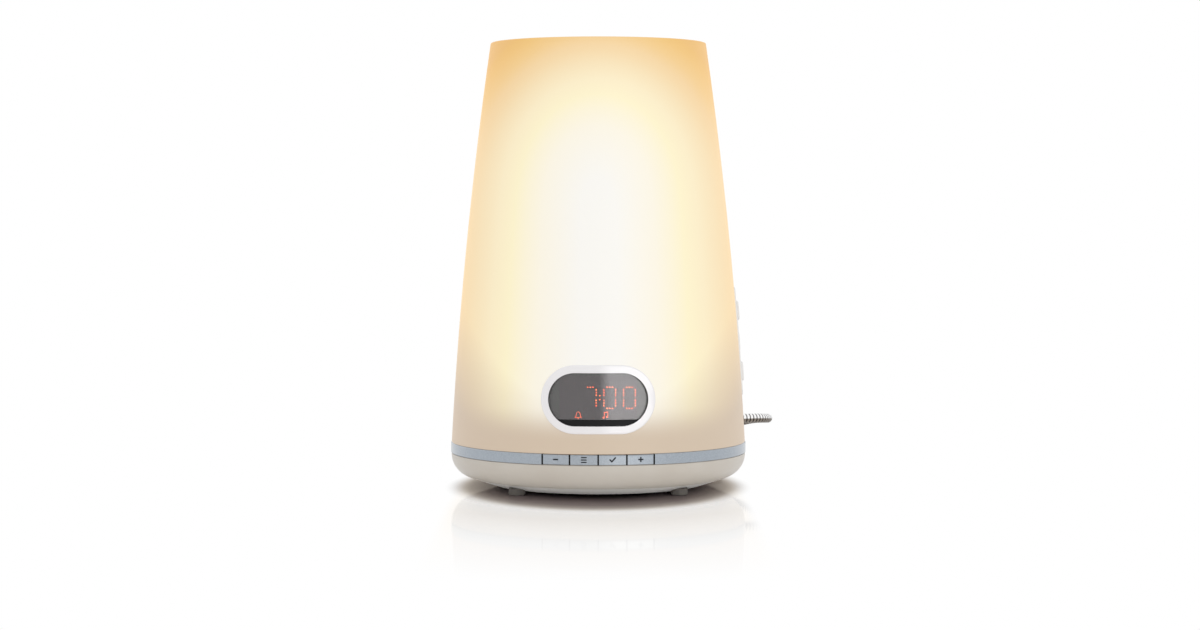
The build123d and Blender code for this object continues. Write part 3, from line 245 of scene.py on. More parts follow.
@dataclass(frozen=True)
class LitShade(Finish):
    """Moulded opal polypropylene with a lamp behind it: a painted glow, white, then cream, then amber."""

    body_colour: str = "#B4AF9F"
    painted_amber_colour: str = "#B4AB80"
    unlit_colour: str = "#D5C4AF"
    heart_height: float = 0.150
    top_height: float = 0.252
    rise_power: float = 1.5
    side_reach: float = 0.75
    top_reach: float = 0.82
    room_light: float = 0.93
    # Painted light: colours of the glowing wall, from the lamp's heart outwards.
    glow_stops: tuple[tuple[float, str], ...] = (
        (0.10, "#FAF8F2"), (0.31, "#FDF7E6"), (0.40, "#FEF6DB"), (0.47, "#FFF5D0"),
        (0.56, "#FDEFCB"), (0.65, "#FAE6BE"), (0.74, "#F8DCAD"), (0.84, "#F6D39F"),
        (0.92, "#F4CD95"), (1.0, "#F0C788"),
    )
    # Painted shade where the lamp's light doesn't reach, set by place.
    # The unlit share of the wall: dusk_level at the middle of its foot, more towards its sides,
    # less with height, and all of it below the edge of the lamp's deck.
    dusk_level: float = 0.89
    dusk_aside: float = 1.07
    dusk_per_metre: float = -18.5
    deck_edge: Flat = (0.052, 0.033)
    grain_mm: float = 5 / 9
    grain_depth_mm: float = 0.015
    cloud_mm: float = 100 / 3
    cloud_depth: float = 0.06

    def glow_of(self, target: str) -> Colour:
        """Returns the light to add so that the lit surface shows the target colour.

        Args:
            target: The sRGB hex colour of the glowing surface in a lit room.

        Returns:
            Linear light, never below 0.
        """
        own = linear(self.body_colour)
        light = [max(0.0, t - b * self.room_light) for t, b in zip(linear(target), own)]
        return (light[0], light[1], light[2], 1.0)

    def shade(self, tree: Tree) -> Node:
        """A painted glow by distance from the lamp's heart, fading to a painted unlit foot below the
        deck.
        """
        place = add_node(tree, "ShaderNodeTexCoord").outputs["Object"]
        height = add_node(tree, "ShaderNodeSeparateXYZ", links={0: place}).outputs["Z"]
        level = add_node(
            tree, "ShaderNodeVectorMath", {"operation": "MULTIPLY", 1: (1.0, 1.0, 0.0)}, {0: place}
        )
        outward = add_node(tree, "ShaderNodeVectorMath", {"operation": "NORMALIZE"}, {0: level})
        aside = add_node(tree, "ShaderNodeVectorMath", {"operation": "ABSOLUTE"}, {0: outward})
        side = add_node(tree, "ShaderNodeSeparateXYZ", links={0: aside}).outputs["X"]
        rise = add_node(
            tree, "ShaderNodeMapRange",
            {"From Min": self.heart_height, "From Max": self.top_height}, {"Value": height},
        )
        eased = add_node(
            tree, "ShaderNodeMath", {"operation": "POWER", 1: self.rise_power}, {0: rise}
        )
        way = add_node(tree, "ShaderNodeCombineXYZ", links={"X": side, "Y": eased})
        scaled = add_node(
            tree, "ShaderNodeVectorMath",
            {"operation": "MULTIPLY", 1: (self.side_reach, self.top_reach, 0.0)}, {0: way},
        )
        distance = add_node(
            tree, "ShaderNodeVectorMath", {"operation": "LENGTH"}, {0: scaled}
        ).outputs["Value"]
        glow = add_node(
            tree, "ShaderNodeValToRGB",
            {"stops": [(p, self.glow_of(c)) for p, c in self.glow_stops]}, {"Fac": distance},
        )
        low = add_node(
            tree, "ShaderNodeMath",
            {"operation": "MULTIPLY_ADD", 1: self.dusk_per_metre, 2: self.dusk_level}, {0: height},
        )
        wide = add_node(tree, "ShaderNodeMath", {"operation": "MULTIPLY", 1: self.dusk_aside}, {0: side})
        dusk = add_node(
            tree, "ShaderNodeMath", {"operation": "MULTIPLY_ADD", "use_clamp": True},
            {0: wide, 1: side, 2: low},
        )
        foot = add_node(
            tree, "ShaderNodeMapRange",
            {
                "From Min": self.deck_edge[0], "From Max": self.deck_edge[1],
                "interpolation_type": "SMOOTHSTEP",
            },
            {"Value": height},
        )
        unlit = add_node(tree, "ShaderNodeMix", {"data_type": "FLOAT", 3: 1.0}, {0: foot, 2: dusk})
        light = add_node(
            tree, "ShaderNodeMix", {"data_type": "RGBA", 7: self.glow_of(self.unlit_colour)},
            {0: unlit, 6: glow},
        )
        grain = add_node(
            tree, "ShaderNodeTexNoise", {"Scale": scale_for(self.grain_mm), "Detail": 2.0},
            {"Vector": place},
        )
        bump = add_node(
            tree, "ShaderNodeBump", {"Strength": 0.4, "Distance": self.grain_depth_mm * MM},
            {"Height": grain},
        )
        clouds = add_node(
            tree, "ShaderNodeTexNoise", {"Scale": scale_for(self.cloud_mm), "Detail": 3.0},
            {"Vector": place},
        )
        depth = add_node(
            tree, "ShaderNodeMath", {"operation": "MULTIPLY_ADD", 1: self.cloud_depth},
            {0: clouds, 2: distance},
        )
        # Painted light in the colour too: the body turns amber where the painted glow is amber.
        body = add_node(
            tree, "ShaderNodeValToRGB", {"stops": [(0.8, self.body_colour), (1.0, self.painted_amber_colour)]},
            {"Fac": depth},
        )
        return add_node(
            tree, "ShaderNodeBsdfPrincipled",
            {"IOR": 1.49, "Roughness": 0.46, "Emission Strength": 1.0},
            {"Base Color": body, "Emission Color": light.outputs[2], "Normal": bump},
        )


@dataclass(frozen=True)
class MetallicLacquer(Finish):
    """ABS sprayed with a silver lacquer: aluminium flakes under a clear coat.

    Real flakes are finer and wouldn't show, so they are drawn coarser.
    """

    colour: str
    flake_colour: str
    roughness: float = 0.28
    flake_mm: float = 0.35
    flake_depth_mm: float = 0.01

    def shade(self, tree: Tree) -> Node:
        """Flakes in cells, each a little lighter or darker and tilted a little."""
        place = add_node(tree, "ShaderNodeTexCoord").outputs["Object"]
        flakes = add_node(
            tree, "ShaderNodeTexVoronoi", {"Scale": scale_for(self.flake_mm)}, {"Vector": place}
        )
        colour = add_node(
            tree, "ShaderNodeValToRGB", {"stops": [(0.1, self.colour), (0.9, self.flake_colour)]},
            {"Fac": flakes.outputs["Color"]},
        )
        bump = add_node(
            tree, "ShaderNodeBump", {"Strength": 0.15, "Distance": self.flake_depth_mm * MM},
            {"Height": flakes},
        )
        return add_node(
            tree, "ShaderNodeBsdfPrincipled",
            {"Metallic": 0.85, "Roughness": self.roughness, "Coat Weight": 0.35, "Coat Roughness": 0.12},
            {"Base Color": colour, "Normal": bump},
        )


@dataclass(frozen=True)
class SmokedAcrylic(Finish):
    """Cast smoked acrylic, polished: dark, clear enough for lit dots, and it mirrors the studio."""

    colour: str = "#AFA9AB"
    haze_colour: str = "#B4AEB0"
    haze_mm: float = 50 / 11
    haze_roughness: float = 0.008

    def shade(self, tree: Tree) -> Node:
        """Faint polishing haze in the gloss over a tinted clear body."""
        place = add_node(tree, "ShaderNodeTexCoord").outputs["Object"]
        stops = [(0.3, self.colour), (0.7, self.haze_colour)]
        haze, tint = mottle(tree, place, self.haze_mm, 4.0, stops)
        gloss = add_node(
            tree, "ShaderNodeMapRange", {"To Min": 0.0, "To Max": self.haze_roughness}, {"Value": haze}
        )
        return add_node(
            tree, "ShaderNodeBsdfPrincipled",
            {"IOR": 1.49, "Transmission Weight": 0.88, "Coat Weight": 0.6, "Coat Roughness": 0.12},
            {"Base Color": tint, "Roughness": gloss},
        )


@dataclass(frozen=True)
class DotMatrixFace(Finish):
    """Face of a light-emitting dot matrix: grey resin with rows of dots that aren't lit."""

    resin: str = "#5F595C"
    dot: str = "#6E6669"
    pitch_mm: float = 1.46

    def shade(self, tree: Tree) -> Node:
        """A regular dot pattern over an even resin."""
        place = add_node(tree, "ShaderNodeTexCoord").outputs["Object"]
        cells = add_node(
            tree, "ShaderNodeTexVoronoi", {"Scale": scale_for(self.pitch_mm), "Randomness": 0.0},
            {"Vector": place},
        )
        colour = add_node(
            tree, "ShaderNodeValToRGB", {"stops": [(0.28, self.dot), (0.36, self.resin)]}, {"Fac": cells}
        )
        return add_node(
            tree, "ShaderNodeBsdfPrincipled", {"Roughness": 0.55, "IOR": 1.5}, {"Base Color": colour}
        )


@dataclass(frozen=True)
class LitDot(Finish):
    """Orange light-emitting diodes in clear resin: some dots burn a little lighter than others."""

    light: str = "#FF8444"
    deep_light: str = "#F4501A"
    strength: float = 12.0
    resin: str = "#40140A"
    uneven_mm: float = 2.0

    def shade(self, tree: Tree) -> Node:
        """Light that varies a little from dot to dot."""
        place = add_node(tree, "ShaderNodeTexCoord").outputs["Object"]
        stops = [(0.4, self.deep_light), (0.6, self.light)]
        _, colour = mottle(tree, place, self.uneven_mm, 2.0, stops)
        return add_node(
            tree, "ShaderNodeBsdfPrincipled",
            {"Base Color": self.resin, "Roughness": 0.4, "Emission Strength": self.strength},
            {"Emission Color": colour},
        )


@dataclass(frozen=True)
class WorkedMetal(Finish):
    """Bare metal with the marks of its tool: rings where turned, lines where drawn.

    Real marks are finer and wouldn't show, so they are drawn coarser.
    """

    colour: str
    worn_colour: str
    roughness: float
    lay: Lay = Lay.TURNED
    line_mm: float = 0.5024
    line_depth_mm: float = 0.02
    gloss_spread: Flat = (-0.06, 0.08)
    tarnish_mm: float = 100 / 9

    def shade(self, tree: Tree) -> Node:
        """Tool marks that shift the gloss and the normal, and a faint tarnish in the colour."""
        place = add_node(tree, "ShaderNodeTexCoord").outputs["Object"]
        settings = {
            "wave_type": self.lay.value, "Scale": scale_for(self.line_mm, WAVE_LENGTH), "Distortion": 1.5
        }
        if self.lay is Lay.TURNED:
            settings["rings_direction"] = "Z"
        marks = add_node(tree, "ShaderNodeTexWave", settings, {"Vector": place}).outputs["Fac"]
        stops = [(0.35, self.colour), (0.7, self.worn_colour)]
        _, colour = mottle(tree, place, self.tarnish_mm, 4.0, stops)
        low, high = (self.roughness + shift for shift in self.gloss_spread)
        gloss = add_node(
            tree, "ShaderNodeMapRange", {"To Min": low, "To Max": high}, {"Value": marks}
        )
        bump = add_node(
            tree, "ShaderNodeBump", {"Strength": 0.25, "Distance": self.line_depth_mm * MM},
            {"Height": marks},
        )
        return add_node(
            tree, "ShaderNodeBsdfPrincipled", {"Metallic": 1.0},
            {"Base Color": colour, "Roughness": gloss, "Normal": bump},
        )


@dataclass(frozen=True)
class LayeredMetal(Finish):
    """Metal in regular layers, such as stamped iron sheets or rows of enamelled wire."""

    colour: str
    gap_colour: str
    layer_mm: float
    across: str = "Z"
    metallic: float = 0.8
    roughness: float = 0.4
    gap_depth_mm: float = 0.1

    def shade(self, tree: Tree) -> Node:
        """Dark gaps between the layers, cut into the normal."""
        place = add_node(tree, "ShaderNodeTexCoord").outputs["Object"]
        layers = add_node(
            tree, "ShaderNodeTexWave",
            {"bands_direction": self.across, "Scale": scale_for(self.layer_mm, WAVE_LENGTH)},
            {"Vector": place},
        ).outputs["Fac"]
        colour = add_node(
            tree, "ShaderNodeValToRGB", {"stops": [(0.15, self.gap_colour), (0.5, self.colour)]},
            {"Fac": layers},
        )
        bump = add_node(
            tree, "ShaderNodeBump", {"Strength": 0.8, "Distance": self.gap_depth_mm * MM},
            {"Height": layers},
        )
        return add_node(
            tree, "ShaderNodeBsdfPrincipled",
            {"Metallic": self.metallic, "Roughness": self.roughness},
            {"Base Color": colour, "Normal": bump},
        )


@dataclass(frozen=True)
class CircuitBoard(Finish):
    """Etched glass-fibre laminate under green solder resist: tracks stand out pale and raised."""

    resist: str = "#1F5B38"
    pale_resist: str = "#236440"
    track: str = "#3E8A55"
    track_mm: float = 2.6
    tracks_per_block: int = 4
    track_depth_mm: float = 0.05

    def shade(self, tree: Tree) -> Node:
        """Blocks of straight tracks under a glossy resist."""
        place = add_node(tree, "ShaderNodeTexCoord").outputs["Object"]
        tracks = add_node(
            tree, "ShaderNodeTexBrick",
            {
                "Scale": scale_for(self.track_mm * self.tracks_per_block), "Mortar Size": 0.06,
                "Color1": self.resist, "Color2": self.pale_resist, "Mortar": self.track,
            },
            {"Vector": place},
        )
        bump = add_node(
            tree, "ShaderNodeBump", {"Strength": 0.5, "Distance": self.track_depth_mm * MM},
            {"Height": tracks.outputs["Fac"]},
        )
        return add_node(
            tree, "ShaderNodeBsdfPrincipled",
            {"Roughness": 0.38, "IOR": 1.55, "Coat Weight": 0.5, "Coat Roughness": 0.15},
            {"Base Color": tracks, "Normal": bump},
        )


@dataclass(frozen=True)
class OpalGlass(Finish):
    """Blown opal glass of a lit bulb: warm white light, a little uneven, under a glossy skin."""

    glass: str = "#F4F1E8"
    warm_light: str = "#FFF1D2"
    white_light: str = "#FFF6E2"
    strength: float = 1.2
    patch_mm: float = 6.25

    def shade(self, tree: Tree) -> Node:
        """A glow that is warmer and whiter in patches, as the opal layer varies."""
        place = add_node(tree, "ShaderNodeTexCoord").outputs["Object"]
        stops = [(0.3, self.warm_light), (0.7, self.white_light)]
        _, light = mottle(tree, place, self.patch_mm, 2.0, stops)
        return add_node(
            tree, "ShaderNodeBsdfPrincipled",
            {"Base Color": self.glass, "Roughness": 0.14, "IOR": 1.5, "Emission Strength": self.strength},
            {"Emission Color": light},
        )


@dataclass(frozen=True)
class PressedPaper(Finish):
    """Pressed paper pulp of a loudspeaker cone: matt black with fibres and pressed rings."""

    pulp: str = "#1C1B1B"
    fibre: str = "#2C2A29"
    axis_height: float = 0.049
    ring_mm: float = 1.9625
    ring_depth_mm: float = 0.2
    fibre_mm: float = 10 / 9

    def shade(self, tree: Tree) -> Node:
        """Rings about the cone's axis and a fibre mottle."""
        place = add_node(tree, "ShaderNodeTexCoord").outputs["Object"]
        centred = add_node(
            tree, "ShaderNodeVectorMath", {"operation": "SUBTRACT", 1: (0.0, 0.0, self.axis_height)},
            {0: place},
        )
        rings = add_node(
            tree, "ShaderNodeTexWave",
            {
                "wave_type": "RINGS", "rings_direction": "Y",
                "Scale": scale_for(self.ring_mm, WAVE_LENGTH),
            },
            {"Vector": centred},
        )
        _, colour = mottle(tree, place, self.fibre_mm, 4.0, [(0.3, self.pulp), (0.7, self.fibre)])
        bump = add_node(
            tree, "ShaderNodeBump", {"Strength": 0.6, "Distance": self.ring_depth_mm * MM},
            {"Height": rings.outputs["Fac"]},
        )
        return add_node(
            tree, "ShaderNodeBsdfPrincipled", {"Roughness": 0.85}, {"Base Color": colour, "Normal": bump}
        )


@dataclass(frozen=True)
class RibbedSheath(Finish):
    """PVC sheath with rolled ribs, sprayed silver: bright above, with painted shade below and in the
    grooves.
    """

    groove_shade: str = "#6E6A68"
    ridge: str = "#FFFFFF"
    underside_groove_shade: str = "#15110E"
    underside_ridge_shade: str = "#857B71"
    groove_edge: Flat = (0.1, 0.24)
    underside_shade_edge: Flat = (-0.12, 0.12)

    def shade(self, tree: Tree) -> Node:
        """Painted shade in the grooves, which the UV counts, and on the underside, by the normal."""
        coords = add_node(tree, "ShaderNodeTexCoord").outputs
        along = add_node(tree, "ShaderNodeSeparateXYZ", links={0: coords["UV"]})
        rib = add_node(tree, "ShaderNodeMath", {"operation": "PINGPONG", 1: 0.5}, {0: along})
        groove_shade = add_node(
            tree, "ShaderNodeMapRange",
            {"From Min": self.groove_edge[0], "From Max": self.groove_edge[1]}, {"Value": rib},
        )
        # Painted shade: the underside is darker, set by the normal's height.
        up = add_node(tree, "ShaderNodeSeparateXYZ", links={0: coords["Normal"]})
        side = add_node(
            tree, "ShaderNodeMapRange",
            {"From Min": self.underside_shade_edge[0], "From Max": self.underside_shade_edge[1]}, {"Value": up.outputs["Z"]},
        )
        above, below = (
            add_node(tree, "ShaderNodeMix", {"data_type": "RGBA", 6: dark, 7: bright}, {0: groove_shade})
            for dark, bright in ((self.groove_shade, self.ridge), (self.underside_groove_shade, self.underside_ridge_shade))
        )
        colour = add_node(
            tree, "ShaderNodeMix", {"data_type": "RGBA"},
            {0: side, 6: below.outputs[2], 7: above.outputs[2]},
        )
        return add_node(
            tree, "ShaderNodeBsdfPrincipled", {"Roughness": 0.32, "Metallic": 0.85},
            {"Base Color": colour.outputs[2]},
        )


@dataclass(frozen=True)
class PrintedInk(Finish):
    """Pad-printed ink: flat colour, a little thin where the pad lifted."""

    colour: str
    thin_colour: str
    roughness: float = 0.6
    speckle_mm: float = 0.4

    def shade(self, tree: Tree) -> Node:
        """A speckle of thinner ink."""
        place = add_node(tree, "ShaderNodeTexCoord").outputs["Object"]
        stops = [(0.4, self.colour), (0.75, self.thin_colour)]
        _, colour = mottle(tree, place, self.speckle_mm, 2.0, stops)
        return add_node(
            tree, "ShaderNodeBsdfPrincipled",
            {"Roughness": self.roughness, "Specular IOR Level": 0.25}, {"Base Color": colour},
        )


@dataclass(frozen=True)
class StudioFloor(Finish):
    """Polished white acrylic sheet: keeps the shadow, darkened by a painted contact shadow, and a faint
    mirror image near the object.
    """

    squeeze: Point = (1.0, 0.68, 0.0)
    stop_scale: float = 4.0
    shadow_edge: Flat = (0.074, 0.088)
    coil_middle: Point = (0.0, 0.130, 0.0)
    coil_edge: Flat = (0.055, 0.085)
    # Painted shadow: the sheet's colour as the camera sees it, darkest where the object stands.
    painted_shadow_stops: tuple[tuple[float, str], ...] = (
        (0.036, "#302B2B"), (0.049, "#6C6162"), (0.0586, "#7A7070"), (0.0653, "#867C7B"),
        (0.072, "#A69E9A"), (0.0765, "#CCC5C0"), (0.081, "#E9E4E0"), (0.088, "#FFFFFF"),
    )
    bounce_colour: str = "#F7F6F6"
    mirror_colour: str = "#FFF3E0"
    mirror_roughness: float = 0.05
    mirror_reach: Flat = (0.074, 0.083)
    mirror_back: Flat = (0.0, 0.09)
    mirror_stops: tuple[Flat, ...] = (
        (0.05, 0.06), (0.07, 0.15), (0.09, 0.29), (0.108, 0.33), (0.14, 0.22), (0.172, 0.11),
        (0.23, 0.03), (0.25, 0.0),
    )

    def ramp(self, tree: Tree, reach: Socket, stops: Iterable[tuple[float, str | Colour]]) -> Node:
        """Adds a ramp over the distance from the object.

        Args:
            tree: The node tree.
            reach: The distance in metres.
            stops: Distance in metres and colour of each stop.

        Returns:
            The ramp.
        """
        scaled = add_node(
            tree, "ShaderNodeMath", {"operation": "MULTIPLY", 1: self.stop_scale}, {0: reach}
        )
        return add_node(
            tree, "ShaderNodeValToRGB", {"stops": [(d * self.stop_scale, c) for d, c in stops]},
            {"Fac": scaled},
        )

    def shade(self, tree: Tree) -> Node:
        """A sheet with its shadow and a painted contact shadow, and a mirror near the object; plain white
        further out.
        """
        place = add_node(tree, "ShaderNodeTexCoord").outputs["Object"]
        oval = add_node(
            tree, "ShaderNodeVectorMath", {"operation": "MULTIPLY", 1: self.squeeze}, {0: place}
        )
        reach = add_node(
            tree, "ShaderNodeVectorMath", {"operation": "LENGTH"}, {0: oval}
        ).outputs["Value"]
        from_coil = add_node(
            tree, "ShaderNodeVectorMath", {"operation": "DISTANCE", 1: self.coil_middle}, {0: place}
        ).outputs["Value"]
        rays = add_node(tree, "ShaderNodeLightPath").outputs
        # Painted shadow for camera rays, on top of the real light and shadow.
        contact = self.ramp(tree, reach, self.painted_shadow_stops)
        ground = add_node(
            tree, "ShaderNodeMix", {"data_type": "RGBA", 6: self.bounce_colour},
            {0: rays["Is Camera Ray"], 7: contact},
        )
        sheet = add_node(tree, "ShaderNodeBsdfDiffuse", links={"Color": ground.outputs[2]})
        white = add_node(tree, "ShaderNodeEmission", {"Strength": 1.0})
        edges = [
            add_node(
                tree, "ShaderNodeMapRange",
                {"From Min": near, "From Max": far, "interpolation_type": "SMOOTHSTEP"},
                {"Value": distance},
            )
            for (near, far), distance in ((self.shadow_edge, reach), (self.coil_edge, from_coil))
        ]
        away = add_node(tree, "ShaderNodeMath", {"operation": "MINIMUM"}, {0: edges[0], 1: edges[1]})
        seen = add_node(
            tree, "ShaderNodeMath", {"operation": "MAXIMUM"},
            {0: rays["Is Camera Ray"], 1: rays["Is Glossy Ray"]},
        )
        shown = add_node(tree, "ShaderNodeMath", {"operation": "MULTIPLY"}, {0: seen, 1: away})
        lit = add_node(tree, "ShaderNodeMixShader", links={0: shown, 1: sheet, 2: white})
        mirror = add_node(
            tree, "ShaderNodeBsdfGlossy",
            {"Color": self.mirror_colour, "Roughness": self.mirror_roughness},
        )
        share = self.ramp(tree, reach, [(d, (s, s, s, 1.0)) for d, s in self.mirror_stops])
        sides = add_node(tree, "ShaderNodeSeparateXYZ", links={0: place})
        aside = add_node(tree, "ShaderNodeMath", {"operation": "ABSOLUTE"}, {0: sides})
        within, before = (
            add_node(
                tree, "ShaderNodeMapRange",
                {
                    "From Min": near, "From Max": far, "To Min": 1.0, "To Max": 0.0,
                    "interpolation_type": "SMOOTHSTEP",
                },
                {"Value": way},
            )
            for (near, far), way in (
                (self.mirror_reach, aside.outputs[0]), (self.mirror_back, sides.outputs["Y"])
            )
        )
        spot = add_node(tree, "ShaderNodeMath", {"operation": "MULTIPLY"}, {0: within, 1: before})
        mirrored = add_node(tree, "ShaderNodeMath", {"operation": "MULTIPLY"}, {0: share, 1: spot})
        return add_node(tree, "ShaderNodeMixShader", links={0: mirrored, 1: lit, 2: mirror})


# White ABS with a satin, spark-eroded skin: soft highlights, hardly any texture at arm's length.
SATIN_ABS = MouldedPlastic("satin_white_abs_moulded", "#F5F4F2", "#F8F7F5", 0.42)
# The same resin tinted warm grey for the foot: it reads as stone-like beige under white light.
BOWL_ABS = MouldedPlastic("warm_grey_abs_moulded", "#D1CAC0", "#D5CFC6", 0.34, grain_mm=0.6)
# Polished ABS from a mirror-finished mould: sharp reflections of the studio.
BEZEL_ABS = MouldedPlastic(
    "gloss_white_abs_moulded", "#F8F6F8", "#FAF9FB", 0.12, grain_depth_mm=0.002, coat=0.6
)
# Black ABS inside the housing: dull, with a coarse mould grain.
BLACK_ABS = MouldedPlastic("black_abs_moulded", "#232323", "#2C2C2B", 0.55, grain_mm=0.7)
# Natural ABS of the inner bracket: unpolished, a dull cream.
INNER_ABS = MouldedPlastic("natural_abs_moulded", "#D6D2C6", "#DEDACF", 0.5, grain_mm=0.7)
# Soft grey thermoplastic rubber of the feet: matt, with a slight bloom.
FOOT_RUBBER = MouldedPlastic("grey_rubber_moulded", "#625E5A", "#6E6A66", 0.8, ior=1.52)
# Flexible PVC of the strain relief: soft sheen.
RELIEF_PVC = MouldedPlastic("grey_pvc_moulded", "#B9B5B0", "#C2BEB9", 0.45, grain_mm=0.8)
# Hard PVC moulded over the plug: satin white.
PLUG_PVC = MouldedPlastic("white_pvc_moulded", "#E2E0DC", "#E8E6E3", 0.4, grain_mm=0.8)
# Glazed steatite of the lamp holder: bright white under a thick wet-looking glaze.
STEATITE = MouldedPlastic(
    "glazed_steatite_fired", "#EFEBE2", "#F4F1EA", 0.16, grain_mm=2.5, grain_depth_mm=0.03, coat=0.8
)
# Opal wall in front of the lamp: a soft painted glow stands for the lamp's light, and it hides the bulb.
OPAL_SHADE = LitShade("opal_polypropylene_painted_glow")
# Silver lacquer of the band and the keys: a cool, even metal with soft reflections.
SILVER_BAND = MetallicLacquer("silver_lacquer_sprayed", "#98A0A9", "#ABB3BB")
# Smoked window: dark grey, with the lit dots and a soft mirror image in it.
SMOKED_WINDOW = SmokedAcrylic("smoked_acrylic_polished")
# Face behind the window: a grey that lifts the black a little.
MATRIX_FACE = DotMatrixFace("dot_matrix_resin_cast")
# Lit diodes: orange-red, brighter than anything round them.
LIT_DOT = LitDot("orange_diode_lit")
# The signs are cut in a stencil over one diode each: the same light, spread thinner.
LIT_SIGN = LitDot("orange_stencil_lit", "#FA7E4E", "#F0521F", 4.6)
# Spun aluminium: fine rings about the lamp's axis, slightly hazy.
SPUN_ALUMINIUM = WorkedMetal("aluminium_spun", "#C9CACB", "#D8D9DA", 0.3, line_mm=0.5652)
# Extruded aluminium of the heat sink: drawn lines, darker from anodising.
DRAWN_ALUMINIUM = WorkedMetal("aluminium_extruded", "#6E7276", "#7E8286", 0.42, Lay.DRAWN)
# Zinc-plated steel of screws and the speaker's basket: bright, bluish, thinly marked.
ZINC_STEEL = WorkedMetal("zinc_plated_steel_pressed", "#B4B6B9", "#C4C5C6", 0.34, Lay.DRAWN, 0.3768)
# Rolled brass of the holder's sleeve and contacts: warm yellow, duller where it has tarnished.
BRASS = WorkedMetal("brass_rolled", "#C9A458", "#B28D45", 0.28, line_mm=0.628)
# Nickel-plated brass of the plug pins and the bulb's cap: warm grey with clear reflections.
NICKEL = WorkedMetal("nickel_plated_brass_turned", "#C9C6BF", "#D6D3CC", 0.2, Lay.DRAWN, 0.4396)
# Stamped iron sheets of the transformer: dull grey steps with dark lines between them.
IRON_SHEETS = LayeredMetal("iron_laminations_stamped", "#6A6967", "#2B2A29", 0.7, "Y", 0.6, 0.5)
# Enamelled copper wire, wound: orange-brown rows with a varnished gloss.
COPPER_TURNS = LayeredMetal("enamelled_copper_wound", "#B4612F", "#5A2811", 0.5, "Z", 0.85, 0.3)
# Circuit boards: glossy green with paler tracks.
BOARD = CircuitBoard("solder_resist_laminate_etched")
# The lit bulb: a plain warm white.
LIT_GLASS = OpalGlass("opal_glass_blown")
# Loudspeaker cone: matt black, seen as a dark disc behind the slots.
CONE_PAPER = PressedPaper("paper_pulp_pressed")
# Signs on the keys: dark enough to read on silver.
KEY_INK = PrintedInk("dark_grey_ink_printed", "#1E2026", "#2A2C33")
# Painted shade along the window's foot, where it lies in shadow: blacker than the smoked plastic beside
# it.
SHADE_BAND_INK = PrintedInk("black_painted_shade_band", "#050404", "#0A0908", 0.5)
# Signs on the white buttons: a quiet grey.
BUTTON_INK = PrintedInk("mid_grey_ink_printed", "#77787B", "#85868A")
# Painted shade in the gaps beside the keys: a black strip that swallows light, so that the gaps read as
# black lines.
GAP_SHADE_BLACK = PrintedInk("black_painted_gap_shade", "#0C0C0D", "#141415", 0.9)
# The hollow of a driver recess: bare metal in deep shade.
RECESS_SHADE = PrintedInk("screw_recess_shade_pressed", "#26272A", "#303135", 0.7)


def dress(finish: Finish, *names: str) -> None:
    """Gives CAD nodes a finish through their material slots.

    Args:
        finish: The finish of all of them.
        names: The CAD nodes' names.
    """
    for name in names:
        for slot in frame["nodes"][name].material_slots:
            slot.material = finish.material()
    log.info("%s: %s", finish.name, ", ".join(names))


def outward_at(turn: float) -> Point:
    """Returns the level way out from the axis at an azimuth in radians, 0 in front, more to the right."""
    return (math.sin(turn), -math.cos(turn), 0.0)


def surface(node: str) -> BVHTree:
    """Returns a CAD node's faces in a form that rays can be cast at."""
    mesh = frame["nodes"][node].data
    return BVHTree.FromPolygons([v.co for v in mesh.vertices], [p.vertices for p in mesh.polygons])


def make_piece(
    name: str,
    points: Sequence[Vector],
    faces: Sequence[Sequence[int]],
    finish: Finish,
    body: str,
) -> bpy.types.Object:
    """Makes one piece of the object from points and faces.

    Args:
        name: The piece's name.
        points: Its points in the frame, in metres.
        faces: Its faces as point numbers.
        finish: Its finish.
        body: The CAD body that it rides on.

    Returns:
        The new object.
    """
    mesh = bpy.data.meshes.new(name)
    mesh.from_pydata([tuple(p) for p in points], [], [list(f) for f in faces])
    mesh.materials.append(finish.material())
    piece = bpy.data.objects.new(name, mesh)
    bpy.context.scene.collection.objects.link(piece)
    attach(piece, body)
    log.info("piece %s rides on %s", name, body)
    return piece


def disc(centre: Flat, radius: float, corners: int = 12) -> list[Flat]:
    """Returns the corners of a round dot's outline, from its middle and radius in millimetres."""
    turns = [math.tau * i / corners for i in range(corners)]
    return [(centre[0] + radius * math.cos(t), centre[1] + radius * math.sin(t)) for t in turns]


def stroke(start: Flat, end: Flat, width: float, corners: int = 5) -> list[Flat]:
    """Returns the outline of a line with round ends.

    Args:
        start: Its first end, in millimetres.
        end: Its other end.
        width: Its width.
        corners: How many steps each round end has.

    Returns:
        The outline's corners, anticlockwise.
    """
    heading = math.atan2(end[1] - start[1], end[0] - start[0])
    outline = []
    for tip, base in ((end, heading - math.pi / 2), (start, heading + math.pi / 2)):
        for i in range(corners + 1):
            turn = base + math.pi * i / corners
            outline.append((tip[0] + width / 2 * math.cos(turn), tip[1] + width / 2 * math.sin(turn)))
    return outline


def path(points: Sequence[Flat], width: float, closed: bool = False) -> list[list[Flat]]:
    """Returns one outline for each run of a bent line, from its corners and width in millimetres."""
    ends = list(points[1:]) + ([points[0]] if closed else [])
    return [stroke(a, b, width) for a, b in zip(points, ends)]


